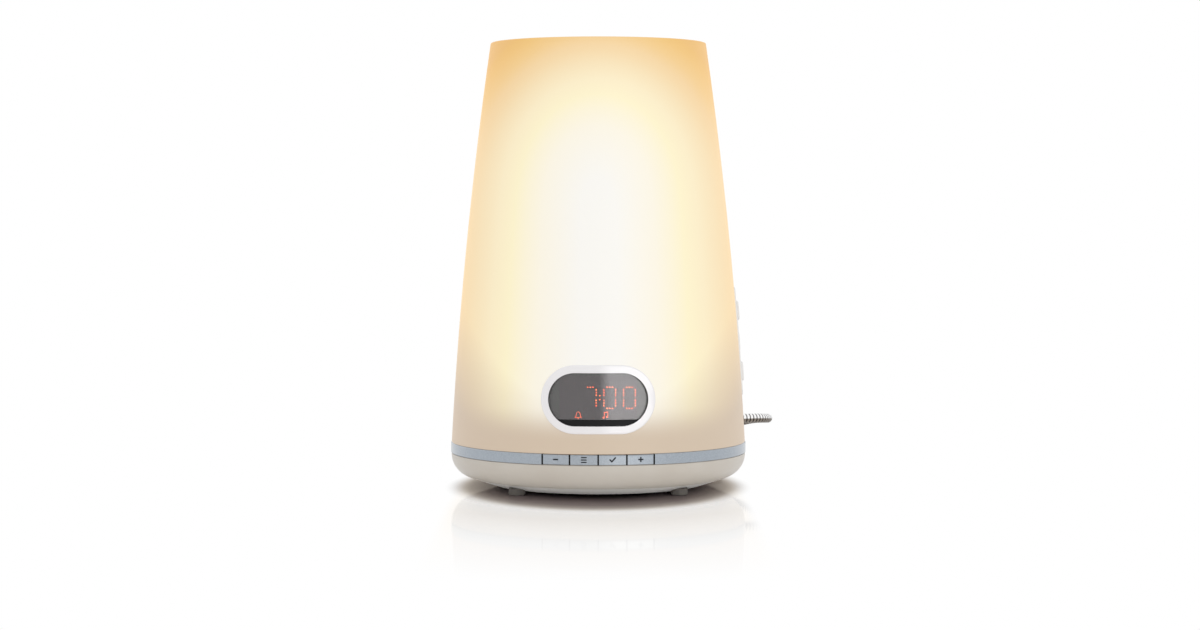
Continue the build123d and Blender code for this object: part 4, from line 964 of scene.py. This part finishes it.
@dataclass
class SurfaceMark:
    """A thin mark that lies on a CAD node's surface: a print, a lit dot or the painted shade of a recess.
    """

    name: str
    node: str
    outlines: list[list[Flat]]
    centre: Point
    outward: Point
    finish: Finish
    body: str
    slot: str
    raised_mm: float = 0.05
    sunk_mm: float = 0.12
    approach_mm: float = 12.0

    def build(self) -> bpy.types.Object:
        """Lays the outlines on the node's surface.

        Returns:
            The piece, a thin slab for each outline.
        """
        tree = surface(self.node)
        out = Vector(self.outward).normalized()
        right = Vector((-out.y, out.x, 0.0))
        right = right.normalized() if right.length > 1e-6 else Vector((1.0, 0.0, 0.0))
        up = out.cross(right)
        points: list[Vector] = []
        faces: list[list[int]] = []
        for outline in self.outlines:
            first = len(points)
            count = len(outline)
            for u, v in outline:
                start = Vector(self.centre) + (right * u + up * v) * MM + out * self.approach_mm * MM
                hit = tree.ray_cast(start, -out)[0]
                if hit is None:
                    raise ValueError(f"{self.name} doesn't meet {self.node}")
                points.append(hit + out * self.raised_mm * MM)
                points.append(hit - out * self.sunk_mm * MM)
            tops = [first + 2 * i for i in range(count)]
            faces.append(tops)
            faces.append([i + 1 for i in reversed(tops)])
            for i in range(count):
                a, b = tops[i], tops[(i + 1) % count]
                faces.append([a, a + 1, b + 1, b])
        return make_piece(self.name, points, faces, self.finish, self.body)


@dataclass
class Studio:
    """The camera, the soft lights and the floor, none of which is part of the object."""

    camera_place: Point = (0.00097, -1.430, 0.15994)
    camera_pitch: float = 87.51
    lens_mm: float = 75.30
    room_level: float = 0.78
    panel_level: float = 2.5
    panel_azimuth: float = 23.5
    panel_distance: float = 1.75
    panel_width: float = 1.15
    panel_steps: int = 5
    panel_step_width: float = 0.05
    panel_height: float = 0.34
    panel_middle: float = 0.25
    panel_aim: float = 0.10
    floor_reach: float = 6.0

    def build(self) -> None:
        """Makes all of it."""
        self.make_camera()
        self.make_room()
        self.make_panel()
        self.make_floor()
        bpy.context.scene.view_settings.view_transform = "Standard"

    def make_camera(self) -> None:
        """Stands the camera a little above the middle of the object, looking slightly down."""
        data = bpy.data.cameras.new("camera")
        data.lens = self.lens_mm
        data.sensor_width = 36.0
        data.sensor_fit = "HORIZONTAL"
        camera = bpy.data.objects.new("camera", data)
        camera.location = self.camera_place
        camera.rotation_euler = Euler((math.radians(self.camera_pitch), 0.0, 0.0))
        bpy.context.scene.collection.objects.link(camera)
        bpy.context.scene.camera = camera

    def make_room(self) -> None:
        """White walls: white where they are seen or mirrored, and a plain level of light."""
        world = bpy.data.worlds.new("white_room")
        bpy.context.scene.world = world
        world.use_nodes = True
        tree = world.node_tree
        tree.nodes.clear()
        rays = add_node(tree, "ShaderNodeLightPath").outputs
        seen = add_node(
            tree, "ShaderNodeMath", {"operation": "MAXIMUM"},
            {0: rays["Is Camera Ray"], 1: rays["Is Transmission Ray"]},
        )
        clear = add_node(
            tree, "ShaderNodeMath", {"operation": "MAXIMUM"}, {0: seen, 1: rays["Is Glossy Ray"]}
        )
        level = add_node(
            tree, "ShaderNodeMapRange", {"To Min": self.room_level, "To Max": 1.0}, {"Value": clear}
        )
        light = add_node(tree, "ShaderNodeBackground", {"Color": "#FFFFFF"}, {"Strength": level})
        add_node(tree, "ShaderNodeOutputWorld", links={"Surface": light})

    def make_panel(self) -> None:
        """A soft panel at the front right, whose mirror image lies in the display's right half."""
        soft_edge = self.panel_steps * self.panel_step_width
        near = -self.panel_width / 2 - soft_edge / 2
        for i in range(self.panel_steps):
            level = self.panel_level * (i + 1) / (self.panel_steps + 1)
            middle = near + (i + 0.5) * self.panel_step_width
            self.make_light(f"soft_panel_edge_{i + 1}", middle, self.panel_step_width, level)
        rest = self.panel_width - soft_edge / 2
        self.make_light("soft_panel", (self.panel_width - rest) / 2, rest, self.panel_level)

    def make_light(self, name: str, aside: float, width: float, level: float) -> None:
        """Hangs one upright strip of the panel.

        Args:
            name: The light's name.
            aside: How far its middle is to the right of the panel's middle.
            width: Its width.
            level: The radiance of its face.
        """
        data = bpy.data.lights.new(name, "AREA")
        data.shape = "RECTANGLE"
        data.size = width
        data.size_y = self.panel_height
        data.energy = level * math.pi * width * self.panel_height
        light = bpy.data.objects.new(name, data)
        turn = math.radians(self.panel_azimuth)
        middle = Vector(outward_at(turn)) * self.panel_distance
        middle.z = self.panel_middle
        aim = Vector((0.0, 0.0, self.panel_aim)) - middle
        light.location = middle + Vector((math.cos(turn), math.sin(turn), 0.0)) * aside
        light.rotation_euler = aim.to_track_quat("-Z", "Y").to_euler()
        bpy.context.scene.collection.objects.link(light)

    def make_floor(self) -> None:
        """A plain sheet under the object."""
        r = self.floor_reach
        mesh = bpy.data.meshes.new("floor")
        mesh.from_pydata([(-r, -r, 0.0), (r, -r, 0.0), (r, r, 0.0), (-r, r, 0.0)], [], [(0, 1, 2, 3)])
        mesh.materials.append(StudioFloor("white_acrylic_sheet").material())
        floor = bpy.data.objects.new("floor", mesh)
        bpy.context.scene.collection.objects.link(floor)


@dataclass
class MainsLead:
    """The mains lead: out of the rear right, round behind the base, and coiled with its plug."""

    diameter: float = 0.0055
    length: float = 1.5
    outlet: Point = (0.07942, 0.06773, 0.0328)
    coil_centre: Flat = (-0.0046, 0.1302)
    outer_turn: float = 0.03825
    inner_turn: float = 0.0222
    top_turn: float = 0.0405
    low_layer: float = 0.00275
    high_layer: float = 0.00830
    points_per_turn: int = 12
    entry_degrees: float = 58.0
    low_points: int = 35
    climb_points: int = 4
    high_points: int = 40
    # Finer ribs wouldn't show, so they are this coarse.
    rib_pitch: float = 0.0023
    rib_depth: float = 0.00032
    rib_profile: tuple[Flat, ...] = ((0.0, 1.0), (0.26, 0.0), (0.74, 0.0))
    sides: int = 14

    def route(self) -> list[Point]:
        """Returns the points that the lead follows from its outlet to its coil."""
        return [
            self.outlet,
            (0.09399, 0.07303, 0.0328),
            (0.1028, 0.0862, 0.0315),
            (0.1035, 0.1042, 0.0299),
            (0.0946, 0.1221, 0.0282),
            (0.0790, 0.1361, 0.0225),
            (0.0582, 0.1481, 0.0140),
            (0.0334, 0.1587, 0.0064),
        ]

    def coil(self) -> list[Point]:
        """Winds the coil: inwards on the table, up a layer, and outwards again.

        Returns:
            The coil's points.
        """
        step = math.tau / self.points_per_turn
        widen = 1 / math.cos(step / 2)
        points = []
        for k in range(self.low_points + self.climb_points + self.high_points + 1):
            if k <= self.low_points:
                share = k / self.low_points
                radius = self.outer_turn + (self.inner_turn - self.outer_turn) * share
                height = self.low_layer
            elif k < self.low_points + self.climb_points:
                radius = self.inner_turn
                share = (k - self.low_points) / self.climb_points
                height = self.low_layer + (self.high_layer - self.low_layer) * share
            else:
                share = (k - self.low_points - self.climb_points) / self.high_points
                radius = self.inner_turn + (self.top_turn - self.inner_turn) * share
                height = self.high_layer
            turn = math.radians(self.entry_degrees) + step * k
            points.append(
                (
                    self.coil_centre[0] + widen * radius * math.cos(turn),
                    self.coil_centre[1] + widen * radius * math.sin(turn),
                    height,
                )
            )
        return points

    def tail(self) -> list[Point]:
        """Returns the points of the short end that goes into the plug."""
        return [(0.01045, 0.09081, 0.0067), (0.0194, 0.09175, 0.0067)]

    def line(self) -> list[Vector]:
        """Draws the smooth line that the route's points steer.

        Returns:
            Close points along it.
        """
        data = bpy.data.curves.new("mains_lead_line", "CURVE")
        data.dimensions = "3D"
        data.resolution_u = 8
        points = self.route() + self.coil() + self.tail()
        spline = data.splines.new("NURBS")
        spline.points.add(len(points) - 1)
        for knot, place in zip(spline.points, points):
            knot.co = (*place, 1.0)
        spline.order_u = 3
        spline.use_endpoint_u = True
        guide = bpy.data.objects.new("mains_lead_line", data)
        mesh = bpy.data.meshes.new_from_object(guide)
        line = [vertex.co.copy() for vertex in mesh.vertices]
        bpy.data.objects.remove(guide)
        bpy.data.curves.remove(data)
        bpy.data.meshes.remove(mesh)
        return line

    def stations(self, length: float) -> list[Flat]:
        """Places the rings that the sheath is made of.

        Args:
            length: The line's length in metres.

        Returns:
            Each ring's distance along the line and its radius.
        """
        radius = self.diameter / 2
        ribs = int(length / self.rib_pitch)
        rings = [
            ((rib + share) * self.rib_pitch, radius - depth * self.rib_depth)
            for rib in range(ribs)
            for share, depth in self.rib_profile
        ]
        return rings + [(length, radius)]

    def sheath(self, line: Sequence[Vector]) -> bpy.types.Object:
        """Makes the ribbed tube round the line.

        Args:
            line: Close points along the lead's middle.

        Returns:
            The lead's object, with a UV that counts the ribs.
        """
        reach = [0.0]
        for near, far in zip(line, line[1:]):
            reach.append(reach[-1] + (far - near).length)
        last = len(line) - 1
        headings = [(line[min(i + 1, last)] - line[max(i - 1, 0)]).normalized() for i in range(last + 1)]
        stations = self.stations(reach[-1])
        side = headings[0].orthogonal().normalized()
        points: list[Vector] = []
        span = 0
        for distance, radius in stations:
            while span < last - 1 and reach[span + 1] < distance:
                span += 1
            share = (distance - reach[span]) / (reach[span + 1] - reach[span])
            middle = line[span].lerp(line[span + 1], share)
            heading = headings[span].lerp(headings[span + 1], share).normalized()
            side = (side - heading * side.dot(heading)).normalized()
            over = heading.cross(side)
            for k in range(self.sides):
                turn = math.tau * k / self.sides
                points.append(middle + radius * (math.cos(turn) * side + math.sin(turn) * over))
        rows = range(len(stations) - 1)
        faces = [
            [row * self.sides + k, row * self.sides + following,
             (row + 1) * self.sides + following, (row + 1) * self.sides + k]
            for row in rows
            for k, following in ((k, (k + 1) % self.sides) for k in range(self.sides))
        ]
        end = len(stations) * self.sides
        faces += [list(range(self.sides))[::-1], list(range(end - self.sides, end))]
        finish = RibbedSheath("silver_pvc_sheath_extruded")
        lead = make_piece("mains_lead", points, faces, finish, "base")
        counts = lead.data.uv_layers.new(name="ribs")
        for loop, uv in zip(lead.data.loops, counts.data):
            ring, corner = divmod(loop.vertex_index, self.sides)
            uv.uv = (stations[ring][0] / self.rib_pitch, corner / self.sides)
        for face in lead.data.polygons:
            face.use_smooth = len(face.vertices) == 4
        return lead

    def build(self) -> None:
        """Makes the lead and dresses what is moulded on it."""
        line = self.line()
        lead = self.sheath(line)
        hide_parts("mains_cord", "cord_coil", "cord_tail")
        dress(RELIEF_PVC, "cord_relief")
        dress(PLUG_PVC, "mains_plug")
        dress(NICKEL, "plug_pins")


@dataclass
class Housing:
    """The glowing shade, the white rear, the bowl with its silver band, and what is screwed on."""

    screw_span_mm: float = 3.0
    screw_groove_mm: float = 0.9
    rear_screw_degrees: float = 150.0
    rear_screw_height: float = 0.0739
    rear_screw_radius: float = 0.082
    foot_screw_height: float = 0.002
    foot_screws: tuple[Flat, ...] = (
        (-0.02281, -0.04892), (0.02281, -0.04892), (0.03470, 0.04135), (-0.03470, 0.04135)
    )

    def cross(self) -> list[list[Flat]]:
        """Returns the outlines of a cross recess."""
        half = self.screw_span_mm / 2
        return [
            stroke((-half, 0.0), (half, 0.0), self.screw_groove_mm),
            stroke((0.0, -half), (0.0, half), self.screw_groove_mm),
        ]

    def build(self) -> None:
        """Dresses the shells and paints the shade of a cross recess on each screw head."""
        dress(OPAL_SHADE, "lampshade")
        dress(SATIN_ABS, "rear_cover", "top_cap", "base_plate")
        dress(BOWL_ABS, "base_shell")
        dress(SILVER_BAND, "trim_band")
        dress(FOOT_RUBBER, "rubber_feet")
        dress(ZINC_STEEL, "base_screws", "cover_screws")
        for i, (x, y) in enumerate(self.foot_screws):
            SurfaceMark(
                f"foot_screw_recess_{i + 1}", "base_screws", self.cross(),
                (x, y, self.foot_screw_height), (0.0, 0.0, -1.0), RECESS_SHADE, "base", "steel",
            ).build()
        for side in (-1, 1):
            out = outward_at(math.radians(side * self.rear_screw_degrees))
            radius = self.rear_screw_radius
            place = (radius * out[0], radius * out[1], self.rear_screw_height)
            SurfaceMark(
                f"rear_screw_recess_{'left' if side < 0 else 'right'}", "cover_screws", self.cross(),
                place, out, RECESS_SHADE, frame["nodes"]["cover_screws"]["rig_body"], "steel", approach_mm=20.0,
            ).build()


@dataclass
class Digit:
    """One number of the time, made of dots in seven segments."""

    left_mm: float
    segments: str
    width_mm: float = 6.3
    half_mm: float = 5.75
    pitch_mm: float = 1.48
    lowest_mm: float = 1.35

    def dots(self) -> list[Flat]:
        """Places the dots of the lit segments.

        Returns:
            The middles of the dots, in millimetres.
        """
        right = self.left_mm + self.width_mm
        bar = [self.left_mm + self.width_mm / 2 + i * self.pitch_mm for i in (-1, 0, 1)]
        run = [self.lowest_mm + i * self.pitch_mm for i in range(3)]
        places = {
            "a": [(x, self.half_mm) for x in bar],
            "b": [(right, y) for y in run],
            "c": [(right, -y) for y in run],
            "d": [(x, -self.half_mm) for x in bar],
            "e": [(self.left_mm, -y) for y in run],
            "f": [(self.left_mm, y) for y in run],
        }
        return [dot for segment in self.segments for dot in places[segment]]


@dataclass
class Display:
    """The oval display: a glossy bezel, a smoked window, and the lit dots behind it."""

    middle_height: float = 0.0558
    face_y: float = -0.06997
    dot_radius_mm: float = 0.28
    digits: tuple[tuple[float, str], ...] = ((-7.4, "abc"), (3.1, "abcdef"), (13.7, "abcdef"))
    colon_mm: tuple[Flat, ...] = ((0.9, 1.15), (0.9, -1.05))
    bell_line_mm: float = 0.25
    clapper_mm: Flat = (0.0, -1.85)
    clapper_radius_mm: float = 0.33
    window_middle_z: float = 55.6
    window_half_length: float = 27.05
    window_half_height: float = 14.35
    bell_mm: Flat = (-10.8, -9.4)
    note_mm: Flat = (3.7, -9.4)
    in_front_y: float = -0.10
    shade_band_half_length: float = 21.6
    shade_band_top_z: float = 44.8
    shade_band_lift: float = 0.12
    shade_band_least: float = 0.5
    shade_band_proud: float = 0.03
    shade_band_sunk: float = 0.05
    shade_band_columns: int = 48

    def time_dots(self) -> list[list[Flat]]:
        """Lights an hour number, a colon and two minute numbers.

        Returns:
            The outline of each dot.
        """
        digits = [Digit(left, lit) for left, lit in self.digits]
        places = [dot for digit in digits for dot in digit.dots()] + list(self.colon_mm)
        return [disc(place, self.dot_radius_mm, 10) for place in places]

    def bell(self) -> list[list[Flat]]:
        """Draws the alarm bell.

        Returns:
            The outlines of its line and its clapper.
        """
        side = [(-1.75, -1.35), (-1.2, -0.6), (-1.05, 0.6), (-0.55, 1.5), (0.0, 1.75)]
        other = [(-x, y) for x, y in reversed(side[:-1])]
        clapper = disc(self.clapper_mm, self.clapper_radius_mm, 10)
        return path(side + other, self.bell_line_mm, closed=True) + [clapper]

    def note(self) -> list[list[Flat]]:
        """Returns the outline of a plain music note for the sound."""
        return [
            disc((-0.8, -1.4), 0.55, 12), disc((1.1, -1.0), 0.55, 12),
            stroke((-0.4, -1.3), (-0.4, 1.3), 0.3), stroke((1.5, -0.9), (1.5, 1.7), 0.3),
            stroke((-0.4, 1.3), (1.5, 1.7), 0.5),
        ]

    def edge_z(self, x: float) -> float:
        """Finds the window's lower edge.

        Args:
            x: The place across the window, in millimetres.

        Returns:
            The edge's height there, in millimetres.
        """
        straight = self.window_half_length - self.window_half_height
        over = max(0.0, abs(x) - straight)
        return self.window_middle_z - math.sqrt(self.window_half_height**2 - over**2)

    def make_shade_band(self) -> None:
        """Lays a black band of painted shade along the window's lower edge, where it lies in shadow."""
        tree = surface("display_window")
        span = self.shade_band_half_length
        points: list[Vector] = []
        faces: list[list[int]] = []
        for i in range(self.shade_band_columns + 1):
            x = -span + 2 * span * i / self.shade_band_columns
            low = self.edge_z(x) + self.shade_band_lift
            high = max(self.shade_band_top_z, low + self.shade_band_least)
            for z in (low, high):
                start = Vector((x * MM, self.in_front_y, z * MM))
                hit = tree.ray_cast(start, Vector((0.0, 1.0, 0.0)))[0]
                points.append(hit + Vector((0.0, -self.shade_band_proud * MM, 0.0)))
                points.append(hit + Vector((0.0, self.shade_band_sunk * MM, 0.0)))
        for i in range(self.shade_band_columns):
            a, b = 4 * i, 4 * (i + 1)
            faces += [
                [a, b, b + 2, a + 2], [a + 1, a + 3, b + 3, b + 1],
                [a, a + 1, b + 1, b], [a + 2, b + 2, b + 3, a + 3],
            ]
        last = 4 * self.shade_band_columns
        faces += [[0, 2, 3, 1], [last, last + 1, last + 3, last + 2]]
        make_piece("window_shade_band", points, faces, SHADE_BAND_INK, "shade")

    def build(self) -> None:
        """Dresses the display and lights its dots."""
        dress(BEZEL_ABS, "display_bezel")
        dress(SMOKED_WINDOW, "display_window")
        dress(BLACK_ABS, "display_shroud", "front_carrier")
        dress(MATRIX_FACE, "display_matrix")
        dress(BOARD, "display_board")
        lit = {
            "time_dots": (self.time_dots(), (0.0, 0.0), LIT_DOT),
            "alarm_bell": (self.bell(), self.bell_mm, LIT_SIGN),
            "sound_note": (self.note(), self.note_mm, LIT_SIGN),
        }
        for name, (outlines, (x, z), finish) in lit.items():
            SurfaceMark(
                name, "display_matrix", outlines,
                (x * MM, self.face_y, self.middle_height + z * MM), (0.0, -1.0, 0.0),
                finish, "base", "smoked_plastic",
            ).build()
        self.make_shade_band()


@dataclass
class FrontKeys:
    """The four silver keys in the band, each with a small printed sign, and painted shade in the gaps
    between them.
    """

    key_pitch: float = 10.6
    gap: float = 0.00050
    gap_shade_low: float = 0.02036
    gap_shade_high: float = 0.02606
    gap_shade_side_play: float = 0.00011
    gap_shade_depth: float = 0.0012
    gap_shade_face_half_width: float = 0.00044
    gap_shade_stand_off: float = 0.00002
    gap_shade_proud: float = 0.00009
    sign_height: float = 0.02324
    band_radius: float = 0.084
    line_mm: float = 0.8
    fine_line_mm: float = 0.64
    arm_mm: float = 1.15
    menu_half_mm: float = 1.3

    def signs(self) -> dict[str, list[list[Flat]]]:
        """Draws the keys' signs.

        Returns:
            The outlines of each sign by key, from left to right.
        """
        w = self.line_mm
        arm = self.arm_mm
        wide = self.menu_half_mm
        lines = [stroke((-wide, y), (wide, y), self.fine_line_mm) for y in (wide, 0.0, -wide)]
        return {
            "minus": [stroke((-arm, 0.0), (arm, 0.0), w)],
            "menu": lines,
            "select": path([(-1.4, 0.1), (-0.45, -0.95), (1.5, 1.15)], w),
            "plus": [stroke((-arm, 0.0), (arm, 0.0), w), stroke((0.0, -arm), (0.0, arm), w)],
        }

    def build(self) -> None:
        """Dresses the keys and prints their signs."""
        for i, (name, outlines) in enumerate(self.signs().items()):
            out = outward_at(math.radians((i - 1.5) * self.key_pitch))
            dress(SILVER_BAND, f"key_{name}")
            SurfaceMark(
                f"{name}_sign", f"key_{name}", outlines,
                (self.band_radius * out[0], self.band_radius * out[1], self.sign_height), out,
                KEY_INK, f"key_{name}_body", "silver_trim", raised_mm=0.03, sunk_mm=0.05,
            ).build()
        self.make_gap_shade()
        dress(BOARD, "key_board")
        dress(BLACK_ABS, "key_switches")

    def gap_shade_bars(self) -> list[tuple[float, float, float, float]]:
        """Lays out the painted shade: each gap has a web between the keys and a face over it.

        The two outer gaps, between a key and the band, are half as wide.

        Returns:
            Azimuth, inner radius, outer radius and half width of each bar.
        """
        bars = []
        for i in range(-2, 3):
            outer = abs(i) == 2
            width = self.gap / 2 if outer else self.gap
            turn = math.radians(i * self.key_pitch)
            if outer:
                turn -= math.copysign(width / 2 / self.band_radius, i)
            face = self.band_radius + self.gap_shade_stand_off
            bars.append((turn, face - self.gap_shade_depth, face, width / 2 - self.gap_shade_side_play))
            bars.append((turn, face, self.band_radius + self.gap_shade_proud, self.gap_shade_face_half_width))
        return bars

    def make_gap_shade(self) -> None:
        """Stands a thin black strip of painted shade in each gap beside the keys."""
        points: list[Vector] = []
        faces: list[list[int]] = []
        corners = ((0, 1, 5, 4), (2, 6, 7, 3), (0, 4, 6, 2), (1, 3, 7, 5), (0, 2, 3, 1), (4, 5, 7, 6))
        for turn, inner, outer, half_width in self.gap_shade_bars():
            out = Vector(outward_at(turn))
            side = Vector((-out.y, out.x, 0.0))
            first = len(points)
            for z in (self.gap_shade_low, self.gap_shade_high):
                for radius in (outer, inner):
                    for half in (-half_width, half_width):
                        points.append(out * radius + side * half + Vector((0.0, 0.0, z)))
            faces += [[first + c for c in face] for face in corners]
        make_piece("key_gap_shade", points, faces, GAP_SHADE_BLACK, "base")


@dataclass
class SideControls:
    """The three buttons in their oval panel on the right side."""

    outward: Point = (0.992398, 0.095557, 0.077558)
    panel_place: Point = (0.079463, 0.007651, 0.0826)
    uphill: Point = (-0.077202, -0.007434, 0.996988)
    button_pitch: float = 0.0174
    sun_radius_mm: float = 1.05
    sun_line_mm: float = 0.32
    sun_rays: int = 8
    ray_line_mm: float = 0.3
    ray_reach_mm: Flat = (1.6, 2.1)

    def marks(self) -> dict[str, list[list[Flat]]]:
        """Draws the buttons' signs.

        Returns:
            The outlines of each sign by button, from the top down.
        """
        ring = disc((0.0, 0.0), self.sun_radius_mm)
        near, far = (disc((0.0, 0.0), reach, self.sun_rays) for reach in self.ray_reach_mm)
        rays = [stroke(start, end, self.ray_line_mm) for start, end in zip(near, far)]
        return {
            "level_up_button": [[(-1.5, -0.9), (1.5, -0.9), (0.0, 1.3)]],
            "lamp_button": path(ring, self.sun_line_mm, closed=True) + rays,
            "level_down_button": [[(-1.5, 0.9), (0.0, -1.3), (1.5, 0.9)]],
        }

    def build(self) -> None:
        """Dresses the panel and its buttons and prints their signs."""
        dress(SATIN_ABS, "side_panel", *self.marks())
        for i, (name, outlines) in enumerate(self.marks().items()):
            place = Vector(self.panel_place) + Vector(self.uphill) * (1 - i) * self.button_pitch
            SurfaceMark(
                f"{name}_sign", name, outlines, tuple(place), self.outward,
                BUTTON_INK, f"{name}_body", "white_plastic", raised_mm=0.03, sunk_mm=0.05,
            ).build()
        dress(BOARD, "side_board")
        dress(BLACK_ABS, "side_switches")


@dataclass
class LampUnit:
    """The deck with its reflector, the holder and the bulb."""

    def build(self) -> None:
        """Dresses the lamp's parts."""
        dress(SATIN_ABS, "lamp_deck")
        dress(SPUN_ALUMINIUM, "reflector")
        dress(STEATITE, "lamp_holder")
        dress(BRASS, "holder_sleeve", "holder_contact", "bulb_contact")
        dress(LIT_GLASS, "bulb_glass")
        dress(NICKEL, "bulb_cap")
        dress(BLACK_ABS, "lamp_leads")


@dataclass
class PowerAndSound:
    """The power board with its transformer, and the loudspeaker behind the rear slots."""

    def build(self) -> None:
        """Dresses the electronics and the loudspeaker."""
        dress(BOARD, "main_board")
        dress(IRON_SHEETS, "transformer_core")
        dress(COPPER_TURNS, "transformer_coils")
        dress(BLACK_ABS, "capacitors")
        dress(DRAWN_ALUMINIUM, "heat_sink")
        dress(INNER_ABS, "speaker_bracket")
        dress(ZINC_STEEL, "speaker_basket", "speaker_magnet")
        dress(CONE_PAPER, "speaker_cone")


def main() -> None:
    """Builds the studio and each sub-assembly in order, and reports them."""
    logging.basicConfig(level=logging.INFO, format="%(name)s: %(message)s")
    for part in (
        Studio(), MainsLead(), Housing(), Display(), FrontKeys(), SideControls(), LampUnit(),
        PowerAndSound(),
    ):
        part.build()
        log.info("built %s", type(part).__name__)


if __name__ == "__main__":
    main()
